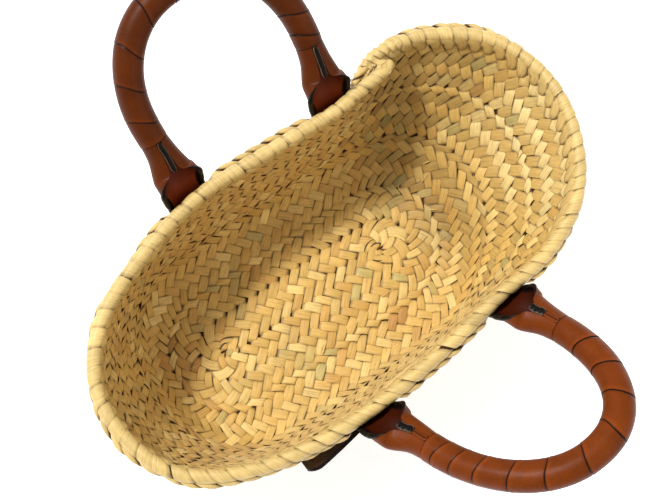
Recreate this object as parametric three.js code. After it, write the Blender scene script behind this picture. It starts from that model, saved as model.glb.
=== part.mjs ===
// A small oval straw basket bag with two leather tube handles.
// Millimetres, +Z up. The origin is on the underside of the base, midway between the two eyes of the coil;
// +X runs along the bag and +Y points to the back handle.
import * as THREE from "three";
import { LoftGeometry } from "three/addons/geometries/LoftGeometry.js";

// Basket
const wallThickness = 3;
const eyeSpacing = 130;
const baseEndReach = 46;
const baseBackReach = 68;
const baseFrontReach = 72;
const footRadius = 16;
const wallBow = 3;
const rimHeight = 100;
const mouthLength = 365;
const mouthWidth = 189;
const mouthForward = 23.5;
const mouthSideways = 2.5;

// Rim roll
const rollDiameter = 10;
const rollOverlap = 32;
const rollStartFromEye = 30;
const rollStartRun = 48;
const rollEndRun = 33;

// Handles
const handleDiameter = 20;
const handleEndDiameter = 19;
const handleSpan = 113;
const handleReach = 78;
const handleLean = 33;
const handleNeckLength = 11;
const handleSquareness = 2.15;
const backHandleMiddle = 20;
const backHandleSkew = 1.5;
const backHandleSplay = 4;
const frontHandleMiddle = 40.5;
const frontHandleSkew = 17.5;
const frontHandleSplay = -1;

// Leather ends of the handles
const leatherThickness = 2.2;
const tabRollDiameter = 18.5;
const tabRollCurl = 334;
const tabThroatWidth = 58;
const tabFlatWidth = 28;
const tabDrop = 42;
const tabReach = 39;
const tabTurn = 1.3;

// Keepers in the split of each leather end
const keeperProud = 0.8;

// Panel on the front wall
const patchLength = 80;
const patchHeight = 44;
const patchThickness = 1.6;
const patchMiddle = -29.5;
const patchDrop = 8;
const patchCornerRadius = 9;
const patchLift = 11;
const patchFootLift = 4;
const patchLiftedLength = 40;

const clearance = 0.5;
const wallColumns = 112;
const rollSteps = 116;
const rollSides = 8;
const handleSteps = 34;
const handleSides = 12;
const tabPoints = 10;
const patchColumns = 14;
const patchRows = 4;

// Mouth outline through the middle of the rim roll, anticlockwise from above.
// Shares of half the mouth's length and width, from the middle of the mouth.
const mouthOutline = [
  { place: "right tip", along: 1.01, across: 0.19 },
  { place: "right back shoulder", along: 0.93, across: 0.66 },
  { place: "right back lobe", along: 0.77, across: 0.915 },
  { place: "lobe crest", along: 0.637, across: 1.012 },
  { place: "step outside", along: 0.5, across: 0.97 },
  { place: "step middle", along: 0.4, across: 0.895 },
  { place: "step inside", along: 0.31, across: 0.86 },
  { place: "back middle", along: -0.03, across: 0.872 },
  { place: "back left", along: -0.3, across: 0.872 },
  { place: "left back shoulder", along: -0.6, across: 0.725 },
  { place: "left back quarter", along: -0.82, across: 0.525 },
  { place: "left end back", along: -0.96, across: 0.2 },
  { place: "left end front", along: -0.985, across: -0.19 },
  { place: "left front quarter", along: -0.9, across: -0.62 },
  { place: "left front shoulder", along: -0.64, across: -0.91 },
  { place: "front left", along: -0.28, across: -0.995 },
  { place: "front middle", along: 0.1, across: -0.945 },
  { place: "front hollow", along: 0.38, across: -0.855 },
  { place: "front right", along: 0.62, across: -0.795 },
  { place: "right front shoulder", along: 0.83, across: -0.6 },
  { place: "right front quarter", along: 0.96, across: -0.26 },
];

// Start of the rim roll, which rises from outside the wall. "run" is a share of rollStartRun,
// "side" of the distance that sets the roll beside the wall, "rise" and "size" of the roll's radius.
const rollStart = [
  { run: 0, side: 1.05, rise: -1.6, size: 0.45 },
  { run: 0.25, side: 1.05, rise: -1.4, size: 0.65 },
  { run: 0.5, side: 0.95, rise: -0.6, size: 0.85 },
  { run: 0.75, side: 0.37, rise: 0, size: 1 },
  { run: 1, side: 0, rise: 0, size: 1 },
];

// End of the rim roll, tucked in front of the wall. "run" is a share of rollEndRun, back from the end.
const rollEnd = [
  { run: 0, side: -1.25, rise: -0.3, size: 0.55 },
  { run: 0.2, side: -1.2, rise: -0.1, size: 0.8 },
  { run: 0.5, side: -0.8, rise: 0, size: 0.95 },
  { run: 1, side: -0.05, rise: 0, size: 1 },
];

// Leather end where it lies flat on the wall, from its round foot up. Shares of tabDrop and tabFlatWidth.
const tabOnWall = [
  { drop: 1, width: 0.3 },
  { drop: 0.96, width: 0.62 },
  { drop: 0.86, width: 0.88 },
  { drop: 0.7, width: 1 },
  { drop: 0.4, width: 1 },
];

// Leather end where it leaves the wall, clears the rim roll, opens round a throat and rolls up. "reach" and
// "rise" are shares of tabReach and "curl" of tabRollCurl. "throat" goes from the flat width at 0 to the
// throat's at 1, "roll" from that to the rolled width at 1, and "squash" flattens the section.
const tabInAir = [
  { reach: 0.02, rise: -0.2, curl: 0.1, throat: 0, roll: 0, squash: 0 },
  { reach: 0.13, rise: -0.09, curl: 0.26, throat: 0.1, roll: 0, squash: 0 },
  { reach: 0.25, rise: 0.0, curl: 0.44, throat: 0.38, roll: 0, squash: 0 },
  { reach: 0.36, rise: 0.07, curl: 0.63, throat: 0.72, roll: 0, squash: 0.05 },
  { reach: 0.45, rise: 0.125, curl: 0.82, throat: 0.95, roll: 0, squash: 0.15 },
  { reach: 0.52, rise: 0.165, curl: 0.97, throat: 1, roll: 0, squash: 0.2 },
  { reach: 0.76, rise: 0.315, curl: 1, throat: 1, roll: 0.7, squash: 0.08 },
  { reach: 1, rise: 0.47, curl: 1, throat: 1, roll: 1, squash: 0 },
];

// Keeper in the split, from the throat to the end of the rolled leather. "run" is a share of that stretch.
const keeperSections = [
  { run: 0.04, width: 0.5 },
  { run: 0.12, width: 0.9 },
  { run: 0.3, width: 1 },
  { run: 0.55, width: 1 },
  { run: 0.85, width: 0.9 },
  { run: 0.97, width: 0.6 },
];

// Across the keeper's width, whose two edges are rounded over. "rise" is a share of keeperProud.
const keeperAcross = [
  { side: -1, rise: 0.6 },
  { side: -0.5, rise: 1 },
  { side: 0.5, rise: 1 },
  { side: 1, rise: 0.6 },
];

const up = new THREE.Vector3(0, 0, 1);
const rollRadius = rollDiameter / 2;
const radians = THREE.MathUtils.degToRad;
const lerp = THREE.MathUtils.lerp;

const mouth = new THREE.CatmullRomCurve3(
  mouthOutline.map(
    (row) =>
      new THREE.Vector3(
        mouthForward + (row.along * mouthLength) / 2,
        mouthSideways + (row.across * mouthWidth) / 2,
        0,
      ),
  ),
  true,
  "centripetal",
);
mouth.arcLengthDivisions = 2000;
const perimeter = mouth.getLength();

function wrap(fraction) {
  return fraction - Math.floor(fraction);
}

// Share of the way round the mouth where the roll passes a given X, on the back (1) or the front (-1).
function fractionAt(x, side) {
  const samples = 4000;
  let best = 0;
  let nearest = Infinity;
  for (let i = 0; i < samples; i++) {
    const point = mouth.getPointAt(i / samples);
    const miss = Math.abs(point.x - x);
    if ((point.y - mouthSideways) * side > 0 && miss < nearest) {
      nearest = miss;
      best = i / samples;
    }
  }
  return best;
}

// The roll's middle, the direction along it and the outward horizontal direction.
function rimFrame(fraction) {
  const along = mouth.getTangentAt(wrap(fraction));
  return {
    point: mouth.getPointAt(wrap(fraction)).setZ(rimHeight),
    along,
    outward: new THREE.Vector3().crossVectors(along, up),
  };
}

// The wall is ruled along rays from the line between the two eyes to the mouth.
function column(fraction) {
  const rim = mouth.getPointAt(wrap(fraction));
  const start = new THREE.Vector3(THREE.MathUtils.clamp(rim.x, -eyeSpacing / 2, eyeSpacing / 2), 0, 0);
  const ray = rim.clone().sub(start);
  const reach = ray.length();
  ray.normalize();
  const sideReach = ray.y > 0 ? baseBackReach : baseFrontReach;
  const baseReach = Math.hypot(baseEndReach * ray.x, sideReach * ray.y);
  const corner = new THREE.Vector2(baseReach, wallThickness / 2);
  const top = new THREE.Vector2(reach, rimHeight);
  return { start, ray, corner, top, height: corner.distanceTo(top) };
}

// A point of a column's profile, from its distance out along the ray and its height.
function lift(col, point) {
  return col.start.clone().addScaledVector(col.ray, point.x).setZ(point.y);
}

// Profile point of the middle of the wall, a given distance down from the middle of the roll.
function wallProfile(col, drop) {
  const share = drop / col.height;
  const bow = wallBow * 4 * share * (1 - share);
  const slope = col.top.clone().sub(col.corner).normalize();
  return col.top.clone().lerp(col.corner, share).add(new THREE.Vector2(slope.y, -slope.x).multiplyScalar(bow));
}

function wallMiddle(fraction, drop) {
  const col = column(fraction);
  return lift(col, wallProfile(col, drop));
}

// A point off the wall's middle along its outward normal.
function offWall(fraction, drop, distance) {
  const step = 1.5;
  const turn = step / perimeter;
  const across = wallMiddle(fraction + turn, drop).sub(wallMiddle(fraction - turn, drop));
  const rising = wallMiddle(fraction, drop - step).sub(wallMiddle(fraction, drop + step));
  const normal = across.cross(rising).normalize();
  return wallMiddle(fraction, drop).addScaledVector(normal, distance);
}

// Middle of the basket's shell: rows from the edge of the flat floor up to the wall's top, all the way round.
function shellRows() {
  const footShares = [0.25, 0.5, 0.75, 1];
  const wallShares = [0.2, 0.4, 0.6, 0.8, 1];
  const topDrop = rollRadius + clearance;
  const rows = [[], ...footShares.map(() => []), ...wallShares.map(() => [])];
  for (let i = 0; i < wallColumns; i++) {
    const col = column(i / wallColumns);
    const floorEdge = new THREE.Vector2(col.corner.x - footRadius, col.corner.y);
    const footDrop = col.height - footRadius;
    const foot = new THREE.QuadraticBezierCurve(floorEdge, col.corner, wallProfile(col, footDrop));
    rows[0].push(lift(col, floorEdge));
    footShares.forEach((share, k) => rows[1 + k].push(lift(col, foot.getPoint(share))));
    wallShares.forEach((share, k) =>
      rows[1 + footShares.length + k].push(lift(col, wallProfile(col, lerp(footDrop, topDrop, share)))),
    );
  }
  return rows;
}

// The rows moved off the shell's middle along its normals; a positive distance is outwards.
function offsetRows(rows, distance) {
  return rows.map((row, k) =>
    row.map((point, i) => {
      if (k === 0) return point.clone().addScaledVector(up, -distance);
      const across = row[(i + 1) % row.length].clone().sub(row[(i + row.length - 1) % row.length]);
      const rising = rows[Math.min(k + 1, rows.length - 1)][i].clone().sub(rows[k - 1][i]);
      return point.clone().addScaledVector(across.cross(rising).normalize(), distance);
    }),
  );
}

function basketBody() {
  const rows = shellRows();
  const outside = offsetRows(rows, wallThickness / 2);
  const inside = offsetRows(rows, -wallThickness / 2).reverse();
  const floorMiddle = new THREE.Vector3(0, (baseBackReach - baseFrontReach) / 2, wallThickness);
  const innerFloor = Array(wallColumns).fill(floorMiddle);
  return new LoftGeometry([...outside, ...inside, innerFloor], { capStart: true });
}

// Values of a table's column between its rows.
function between(table, run, name) {
  const next = table.findIndex((row) => row.run >= run);
  if (next < 0) return table[table.length - 1][name];
  if (next === 0) return table[0][name];
  const a = table[next - 1];
  const b = table[next];
  return lerp(a[name], b[name], (run - a.run) / (b.run - a.run));
}

// The roll runs once round the mouth and overlaps its own start at the step.
function rimBinding() {
  const start = fractionAt(eyeSpacing / 2 + rollStartFromEye, 1);
  const length = perimeter + rollOverlap;
  const sections = [];
  for (let i = 0; i <= rollSteps; i++) {
    const travelled = (length * i) / rollSteps;
    const left = length - travelled;
    const table = travelled < left ? rollStart : rollEnd;
    const run = travelled < left ? travelled / rollStartRun : left / rollEndRun;
    const radius = rollRadius * between(table, run, "size");
    const aside = between(table, run, "side") * (wallThickness / 2 + radius + clearance);
    const { point, outward } = rimFrame(start - travelled / perimeter);
    point.addScaledVector(outward, aside).addScaledVector(up, rollRadius * between(table, run, "rise"));
    sections.push(ring(point, outward, up, radius, rollSides));
  }
  return new LoftGeometry(sections, { capStart: true, capEnd: true });
}

function ring(middle, first, second, radius, sides) {
  const points = [];
  for (let i = 0; i < sides; i++) {
    const angle = (2 * Math.PI * (i + 0.5)) / sides;
    points.push(
      middle
        .clone()
        .addScaledVector(first, radius * Math.cos(angle))
        .addScaledVector(second, radius * Math.sin(angle)),
    );
  }
  return points;
}

// A strip of leather: its two faces, point by point across its width, closed into one ring.
function stripSection(inner, outer) {
  return [...outer, ...inner.slice().reverse()];
}

// A strip's section closed on its own middle line, which ends the strip in a flat edge.
function folded(section) {
  return section.map((point, k) => point.clone().lerp(section[section.length - 1 - k], 0.5));
}

function stripSolid(sections) {
  return new LoftGeometry([folded(sections[0]), ...sections, folded(sections.at(-1))]);
}

// Where one leather end sits: its place on the rim and the direction its handle leans.
function tabPlace(handle, end) {
  const x = handle.middle + (end * handleSpan) / 2;
  const fraction = fractionAt(x, handle.side);
  const skew = radians(handle.skew + end * handle.splay);
  const away = new THREE.Vector3(Math.sin(skew), handle.side * Math.cos(skew), 0);
  const overPatch = Math.abs(x - patchMiddle) < (patchLength + tabFlatWidth) / 2 && handle.side < 0;
  const standOff = wallThickness / 2 + clearance + (overPatch ? patchThickness + clearance : 0);
  return { fraction, away, standOff, frame: rimFrame(fraction) };
}

// Middle of the leather at a row of its path, which leaves the wall square to it and turns to the handle's way.
function tabPathPoint(place, row) {
  const { point, outward } = place.frame;
  const away = outward.clone().lerp(place.away, Math.min(1, tabTurn * row.reach)).normalize();
  return point
    .clone()
    .addScaledVector(outward, rollRadius + clearance + leatherThickness / 2)
    .addScaledVector(away, row.reach * tabReach)
    .addScaledVector(up, row.rise * tabReach);
}

// Direction in which a handle leaves its leather ends.
function lean(place) {
  const angle = radians(handleLean);
  return place.away.clone().multiplyScalar(Math.cos(angle)).addScaledVector(up, Math.sin(angle));
}

// Where a row of the leather end lies in the air, with its directions along, across and away from the bag,
// and the bend of its section.
function tabSection(place, index) {
  const row = tabInAir[index];
  const middle = tabPathPoint(place, row);
  const before = index > 0 ? tabPathPoint(place, tabInAir[index - 1]) : lastOnWall(place);
  const next = tabInAir[index + 1];
  const after = next ? tabPathPoint(place, next) : middle.clone().add(lean(place));
  const run = after.sub(before).normalize();
  const across = place.frame.along.clone();
  across.addScaledVector(run, -across.dot(run)).normalize();
  const back = new THREE.Vector3().crossVectors(across, run);
  const rolledWidth = (Math.PI * (tabRollDiameter - leatherThickness) * tabRollCurl) / 360;
  const width = lerp(lerp(tabFlatWidth, tabThroatWidth, row.throat), rolledWidth, row.roll);
  const curl = radians(row.curl * tabRollCurl);
  return { middle, run, across, back, curl, radius: width / curl, squash: row.squash };
}

function lastOnWall(place) {
  return offWall(place.fraction, tabOnWall.at(-1).drop * tabDrop, place.standOff);
}

// A point of a section, at an angle from its back and a distance out from the middle of the leather.
function tabPoint(section, angle, out) {
  const breadth = (section.radius * (1 + section.squash) + out) * Math.sin(angle);
  const depth = section.radius * (1 - section.squash) * (1 - Math.cos(angle)) - out * Math.cos(angle);
  return section.middle.clone().addScaledVector(section.across, breadth).addScaledVector(section.back, -depth);
}

function curledSection(section) {
  const inner = [];
  const outer = [];
  for (let i = 0; i <= tabPoints; i++) {
    const angle = (i / tabPoints - 0.5) * section.curl;
    inner.push(tabPoint(section, angle, -leatherThickness / 2));
    outer.push(tabPoint(section, angle, leatherThickness / 2));
  }
  return stripSection(inner, outer);
}

function flatSection(place, drop, width) {
  const inner = [];
  const outer = [];
  for (let i = 0; i <= tabPoints; i++) {
    const fraction = place.fraction + ((i / tabPoints - 0.5) * width) / perimeter;
    inner.push(offWall(fraction, drop, place.standOff));
    outer.push(offWall(fraction, drop, place.standOff + leatherThickness));
  }
  return stripSection(inner, outer);
}

function handleTab(place) {
  const flat = tabOnWall.map((row) => flatSection(place, row.drop * tabDrop, row.width * tabFlatWidth));
  const curled = tabInAir.map((row, index) => curledSection(tabSection(place, index)));
  return stripSolid([...flat, ...curled]);
}

// Middle of the end of the rolled leather, where the handle meets it.
function tabEnd(place) {
  const section = tabSection(place, tabInAir.length - 1);
  return section.middle.addScaledVector(section.back, -section.radius);
}

// The keeper fills the split along the tops of the closed sections and stands a little proud.
function keeper(place) {
  const closed = tabInAir.map((row, index) => index).filter((index) => tabInAir[index].throat === 1);
  const path = new THREE.CatmullRomCurve3(
    closed.map((index) => tabPoint(tabSection(place, index), Math.PI, -leatherThickness / 2)),
  );
  const { across, back, radius, curl } = tabSection(place, tabInAir.length - 1);
  const splitWidth = 2 * (radius - leatherThickness / 2) * Math.sin(Math.PI - curl / 2);
  const widest = splitWidth - 2 * clearance;
  const sections = keeperSections.map((row) => {
    const inner = [];
    const outer = [];
    const centre = path.getPointAt(row.run);
    for (const { side, rise } of keeperAcross) {
      const foot = centre.clone().addScaledVector(across, (side * row.width * widest) / 2);
      inner.push(foot);
      outer.push(foot.clone().addScaledVector(back, -(leatherThickness + keeperProud * rise)));
    }
    return stripSection(inner, outer).reverse();
  });
  return stripSolid(sections);
}

// An arch from one leather end to the other, a little wider than its two feet are apart, with a thinner neck
// that reaches into each rolled end.
function handleTube(left, right, splay) {
  const from = tabEnd(left).addScaledVector(lean(left), clearance);
  const to = tabEnd(right).addScaledVector(lean(right), clearance);
  const middle = from.clone().add(to).multiplyScalar(0.5);
  const half = to.clone().sub(from).multiplyScalar(0.5);
  const leaning = lean(left).add(lean(right)).normalize();
  const side = half.clone().cross(leaning).normalize();
  const widening = (handleReach * Math.tan(radians(splay))) / half.length();
  const arch = (share) => {
    const angle = Math.PI * (1 - share);
    const power = 2 / handleSquareness;
    const out = Math.abs(Math.sin(angle)) ** power;
    const across = Math.sign(Math.cos(angle)) * Math.abs(Math.cos(angle)) ** power * (1 + widening * out);
    return middle.clone().addScaledVector(half, across).addScaledVector(leaning, handleReach * out);
  };
  const step = 0.001;
  const neck = (tabRollDiameter - 2 * leatherThickness) / 2 - 2 * clearance;
  const sections = [];
  const addRing = (centre, run, radius) => {
    const across = new THREE.Vector3().crossVectors(side, run).normalize();
    sections.push(ring(centre, across, side, radius, handleSides));
  };
  const leaving = lean(left);
  addRing(from.clone().addScaledVector(leaving, -handleNeckLength), leaving, neck);
  addRing(from, leaving, neck);
  addRing(from, leaving, handleEndDiameter / 2);
  for (let i = 1; i < handleSteps; i++) {
    const share = i / handleSteps;
    const diameter = lerp(handleEndDiameter, handleDiameter, Math.sin(Math.PI * share));
    addRing(arch(share), arch(share + step).sub(arch(share - step)).normalize(), diameter / 2);
  }
  const returning = lean(right).negate();
  addRing(to, returning, handleEndDiameter / 2);
  addRing(to, returning, neck);
  addRing(to.clone().addScaledVector(returning, handleNeckLength), returning, neck);
  return new LoftGeometry(sections, { capStart: true, capEnd: true });
}

// The panel follows the front wall and stands away from it towards its left end.
function frontPatch() {
  const sections = [];
  const middleFraction = fractionAt(patchMiddle, -1);
  for (let i = 0; i <= patchColumns; i++) {
    const share = (1 - Math.cos((Math.PI * i) / patchColumns)) / 2;
    const along = (share - 0.5) * patchLength;
    const fromEnd = Math.max(0, patchCornerRadius - (patchLength / 2 - Math.abs(along)));
    const cut = patchCornerRadius - Math.sqrt(patchCornerRadius ** 2 - fromEnd ** 2);
    const curled = Math.max(0, 1 - (share * patchLength) / patchLiftedLength) ** 2;
    const inner = [];
    const outer = [];
    for (let k = 0; k <= patchRows; k++) {
      const drop = patchDrop + lerp(cut, patchHeight - cut, k / patchRows);
      const fraction = middleFraction + along / perimeter;
      const gap = wallThickness / 2 + clearance + curled * lerp(patchLift, patchFootLift, k / patchRows);
      inner.push(offWall(fraction, drop, gap));
      outer.push(offWall(fraction, drop, gap + patchThickness));
    }
    sections.push(stripSection(inner, outer));
  }
  return stripSolid(sections);
}

const straw = new THREE.MeshStandardMaterial({ color: 0xd9b877, roughness: 0.75, metalness: 0 });
const palmStrip = new THREE.MeshStandardMaterial({ color: 0xeed9a4, roughness: 0.6, metalness: 0 });
const leather = new THREE.MeshStandardMaterial({ color: 0xa35a2c, roughness: 0.5, metalness: 0 });
const darkLeather = new THREE.MeshStandardMaterial({ color: 0x2c1a12, roughness: 0.55, metalness: 0 });

const bag = new THREE.Group();

function add(name, geometry, material) {
  const mesh = new THREE.Mesh(geometry, material.clone());
  mesh.name = name;
  bag.add(mesh);
}

add("basket_body", basketBody(), straw);
add("rim_binding", rimBinding(), palmStrip);

const handles = [
  { name: "back", side: 1, middle: backHandleMiddle, skew: backHandleSkew, splay: backHandleSplay },
  { name: "front", side: -1, middle: frontHandleMiddle, skew: frontHandleSkew, splay: frontHandleSplay },
];
for (const handle of handles) {
  const places = { left: tabPlace(handle, -1), right: tabPlace(handle, 1) };
  for (const [end, place] of Object.entries(places)) {
    add(`${handle.name}_${end}_tab`, handleTab(place), leather);
    add(`${handle.name}_${end}_keeper`, keeper(place), darkLeather);
  }
  add(`${handle.name}_handle`, handleTube(places.left, places.right, handle.splay), leather);
}
add("front_patch", frontPatch(), darkLeather);

export default bag;
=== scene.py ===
import math
from collections import namedtuple

import bpy
import numpy as np
from mathutils import Matrix, Vector


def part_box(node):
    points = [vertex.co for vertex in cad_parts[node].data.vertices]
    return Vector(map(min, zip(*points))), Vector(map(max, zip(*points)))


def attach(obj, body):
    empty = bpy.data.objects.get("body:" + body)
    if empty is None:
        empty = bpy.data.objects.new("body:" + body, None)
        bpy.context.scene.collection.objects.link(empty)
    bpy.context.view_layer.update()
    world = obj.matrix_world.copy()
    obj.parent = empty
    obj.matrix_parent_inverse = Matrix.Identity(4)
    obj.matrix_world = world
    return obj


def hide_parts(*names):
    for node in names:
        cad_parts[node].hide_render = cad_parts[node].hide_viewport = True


# The visual model of a small oval straw basket bag with two leather tube handles.
# Lengths are millimetres until a mesh is made.
# The frame's axes: +X along the bag, +Y to the back handle, +Z up.

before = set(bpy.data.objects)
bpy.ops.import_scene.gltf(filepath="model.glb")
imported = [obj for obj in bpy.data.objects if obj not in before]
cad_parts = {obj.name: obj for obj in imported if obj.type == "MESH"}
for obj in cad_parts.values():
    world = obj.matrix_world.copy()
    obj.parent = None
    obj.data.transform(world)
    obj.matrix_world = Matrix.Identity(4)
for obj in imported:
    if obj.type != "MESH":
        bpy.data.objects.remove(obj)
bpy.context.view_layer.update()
MM = 0.001
random = np.random.default_rng(11)

# Basket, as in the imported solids
WALL = 3.0
EYE_SPACING = 130.0
BASE_END_REACH = 46.0
BASE_BACK_REACH = 68.0
BASE_FRONT_REACH = 72.0
FOOT_RADIUS = 16.0
WALL_BOW = 3.0
ROLL_DIAMETER = 10.0
RIM_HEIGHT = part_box("rim_binding")[1].z / MM - 0.924 * ROLL_DIAMETER / 2
MOUTH_LENGTH = 365.0
MOUTH_WIDTH = 189.0
MOUTH_MIDDLE = (23.5, 2.5)
CLEARANCE = 0.5

# Mouth through the middle of the rim roll, anticlockwise from above, in shares of half its length and width
MOUTH = [
    (1.01, 0.19), (0.93, 0.66), (0.77, 0.915), (0.637, 1.012), (0.5, 0.97), (0.4, 0.895), (0.31, 0.86),
    (-0.03, 0.872), (-0.3, 0.872), (-0.6, 0.725), (-0.82, 0.525), (-0.96, 0.2), (-0.985, -0.19),
    (-0.9, -0.62), (-0.64, -0.91), (-0.28, -0.995), (0.1, -0.945), (0.38, -0.855), (0.62, -0.795),
    (0.83, -0.6), (0.96, -0.26),
]

# Rim roll
ROLL_OVERLAP = 32.0
ROLL_START_FROM_EYE = 30.0
ROLL_START_RUN = 48.0
ROLL_END_RUN = 33.0

# Ends of the roll at the step: shares of the run, how far each is pushed out or in, its rise and its size
ROLL_START = {"run": (0, 0.25, 0.5, 0.75, 1), "side": (1.05, 1.05, 0.95, 0.37, 0),
              "rise": (-1.6, -1.4, -0.6, 0, 0), "size": (0.45, 0.65, 0.85, 1, 1)}
ROLL_END = {"run": (0, 0.2, 0.5, 1), "side": (-1.25, -1.2, -0.8, -0.05),
            "rise": (-0.3, -0.1, 0, 0), "size": (0.55, 0.8, 0.95, 1)}

# Row of braid beside the roll
OUTER_CORD_RADIUS = 2.5
OUTER_CORD_REACH = 5.1
OUTER_CORD_END_REACH = 1.8
OUTER_CORD_LEAST_REACH = 1.5
OUTER_CORD_DROP = 2.9

# Places where the outer row stands out further or less: x, y, radius and the difference
OUTER_ROW_PLACES = [(20.0, 90.0, 70.0, 0.9), (-150.0, -20.0, 30.0, 3.4), (-104.0, 62.0, 26.0, -3.4),
                    (190.0, 55.0, 34.0, 2.8), (165.0, -52.0, 26.0, -2.6), (-80.0, -85.0, 42.0, -2.0)]

# Wraps of a cord: pitch at the left and right end, points round a wrap, slant and width in pitches, bulge,
# lift of the upper edge, and radius as a share of the cord's
ROLL_WRAP = {"pitch": (12.4, 9.6), "rows": 25, "slant": 0.6, "front_slant": 1.3, "width": 1.12,
             "crown": 0.6, "lay": 0.45, "share": 1.02}
OUTER_WRAP = {"pitch": (12.4, 10.4), "rows": 17, "slant": 1.6, "front_slant": 0.3, "width": 0.86,
              "crown": 1.1, "lay": 0.25, "share": 1.22}
WRAP_PITCH_PLACES = (-140, 190)
WRAP_HALF_TURN = 0.52
WRAP_THICKNESS = 0.45
STRIP_THICKNESS = 0.4
STEP_STRIP_WIDTH = 5.6
STEP_STRIP_PITCH = 4.6

# Braid: rows of herringbone between the line through the eyes and the rim. A seam row is narrower.
STRAND_PITCH = 9.0
SEAM_ROW = 0.62
ROW_GROUPS = [(1, 2), (3, 5), (6, 10), (11, 15), (16, 20)]
BASE_GROUPS = ROW_GROUPS[:3]
WALL_GROUPS = ROW_GROUPS[3:]
SEAM_ROWS = (5, 10, 15, 20)
LAST_ROW = 20
FLOAT_THICKNESS = 0.5
SEAM_FLOAT_LENGTH = 0.9
SEAM_FLOAT_LIFT = 0.15
CORE_HALF_THICKNESS = 0.35

# How far a float runs along the row, in strands, and the height of a row, on the base and on the wall
BASE_STEEPNESS = (1.0, 9.0)
WALL_STEEPNESS = (0.68, 7.6)

# Floats of a face: places over their length and width, height over the shell's middle, arch, bulge and
# greatest height
INSIDE = {
    "places": ((-1.22, -1.0, -0.82, -0.45, 0, 0.45, 0.82, 1.0, 1.22), (-1, -0.68, 0, 0.68, 1)),
    "base": 0.85, "rise": 0.95, "crown": 0.36, "most": 2.3,
}
OUTSIDE = {
    "places": ((-1.2, -0.95, -0.6, 0, 0.6, 0.95, 1.2), (-1, -0.5, 0.5, 1)),
    "base": 0.72, "rise": 0.72, "crown": 0.3, "most": WALL / 2,
}

# Curled strands round an eye: radius, middle and sweep of the arc in degrees, and height over the others
EYE_CURLS = [(2.4, 80, 120, 0.3), (6.0, 115, 95, 0.0), (6.2, 240, 80, -0.2), (2.6, 250, 130, 0.1),
             (6.2, 10, 90, -0.1)]
EYE_CURL_WIDTH = 4.0
EYE_CURL_HEIGHT = 1.7
EYE_CURL_DIP = 1.4
# Dark tubes of painted shade in the creases between the curls: how many curls have one, their radius and
# offset
CREASED_CURLS = 3
CREASE_RADIUS = 0.55
CREASE_OFFSET = 2.1

# Stray fibres: the long ones start along the front wall from a place near its right end
FIBRE_START = 95.0
LONG_FIBRES = 44
FRAYED_FIBRES = 46
FIBRE_POINTS = 9

# Handles and their leather ends
HANDLE_DIAMETER = 20.0
HANDLE_END_DIAMETER = 19.0
HANDLE_SPAN = 113.0
HANDLE_REACH = 78.0
HANDLE_LEAN = math.radians(33)
HANDLE_SQUARENESS = 2.15
HANDLE_LEATHER = 2.4
HANDLE_SIDES = 48
HANDLES = {
    "back": {"side": 1, "middle": 20.0, "skew": math.radians(1.5), "splay": math.radians(4)},
    "front": {"side": -1, "middle": 40.5, "skew": math.radians(17.5), "splay": math.radians(-1)},
}
LEATHER = 2.2
TAB_COLUMNS = 41
TAB_ROLL_DIAMETER = 18.5
TAB_ROLL_CURL = math.radians(334)
TAB_THROAT_WIDTH = 58.0
TAB_FLAT_WIDTH = 28.0
TAB_DROP = 42.0
TAB_REACH = 39.0
TAB_TURN = 1.3

# A leather end on the wall, in shares of its drop and width, and in the air: its reach and rise, how far it
# curls, how far it widens to the throat and narrows to the roll, and how much it is squashed
TAB_ON_WALL = [(1, 0.3), (0.96, 0.62), (0.86, 0.88), (0.7, 1), (0.4, 1)]
TAB_IN_AIR = {
    "reach": (0.02, 0.13, 0.25, 0.36, 0.45, 0.52, 0.76, 1),
    "rise": (-0.2, -0.09, 0, 0.07, 0.125, 0.165, 0.315, 0.47),
    "curl": (0.1, 0.26, 0.44, 0.63, 0.82, 0.97, 1, 1),
    "throat": (0, 0.1, 0.38, 0.72, 0.95, 1, 1, 1),
    "roll": (0, 0, 0, 0, 0, 0, 0.7, 1),
    "squash": (0, 0, 0, 0.05, 0.15, 0.2, 0.08, 0),
}
TAB_SECTIONS = len(TAB_IN_AIR["reach"])

# Rows of a leather end's grid from one section to the next, and the row where its split closes
TAB_STEPS = 6
SPLIT_ROW = (len(TAB_ON_WALL) + TAB_IN_AIR["throat"].index(0.95)) * TAB_STEPS

# Seams of the wound leather in shares of a handle's length, their slant, and how light the leather is
SEAMS = {
    "back": (0.068, 0.167, 0.27, 0.38, 0.49, 0.6, 0.7, 0.8, 0.893, 0.965),
    "front": (0.045, 0.105, 0.177, 0.271, 0.368, 0.479, 0.59, 0.7, 0.8, 0.9),
}
SEAM_TILT = {"back": 3.8, "front": -2.2}
# How light each handle's leather is: the front's is its tone, the back's is darkened further by painted
# shadow
TONE_AND_SHADOW = {"back": 0.5, "front": 0.86}
# How light the inner face of the leather ends is: painted light on the back ones, painted shade on the front
# ones
INSIDE_LIGHT_AND_SHADE = {"back": 1.8, "front": 0.42}

# Straps in the split of a leather end, in shares of its length and width
KEEPERS = {
    "back": {"from": 0.0, "to": 1.0, "width": 0.94, "crumple": 0.12, "proud": 0.75, "black": True},
    "front": {"from": 0.0, "to": 0.52, "width": 1.35, "crumple": 0.4, "proud": 0.95, "black": True},
}
FRONT_SPLIT = {"from": 0.44, "to": 1.0, "width": 1.05, "crumple": 0.03, "proud": 0.2, "black": False,
               "tone_and_shadow": 0.86}

# Core and collar in the joint of a leather end and its handle: places along it and radii
COLLAR_PLACES = (-4.0, -0.15, -0.1, 0.6, 0.65, 4.5)
COLLAR_RADII = (6.8, 6.8, 9.0, 9.0, 6.8, 6.8)

# Stitches, and how far their rows stay from the edges, in points of the leather's grids
STITCH_PITCH = 3.4
STITCH_RADIUS = 0.42
TAB_SEAM_INSET = 4
PATCH_SEAM_INSETS = (2, 9)

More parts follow.
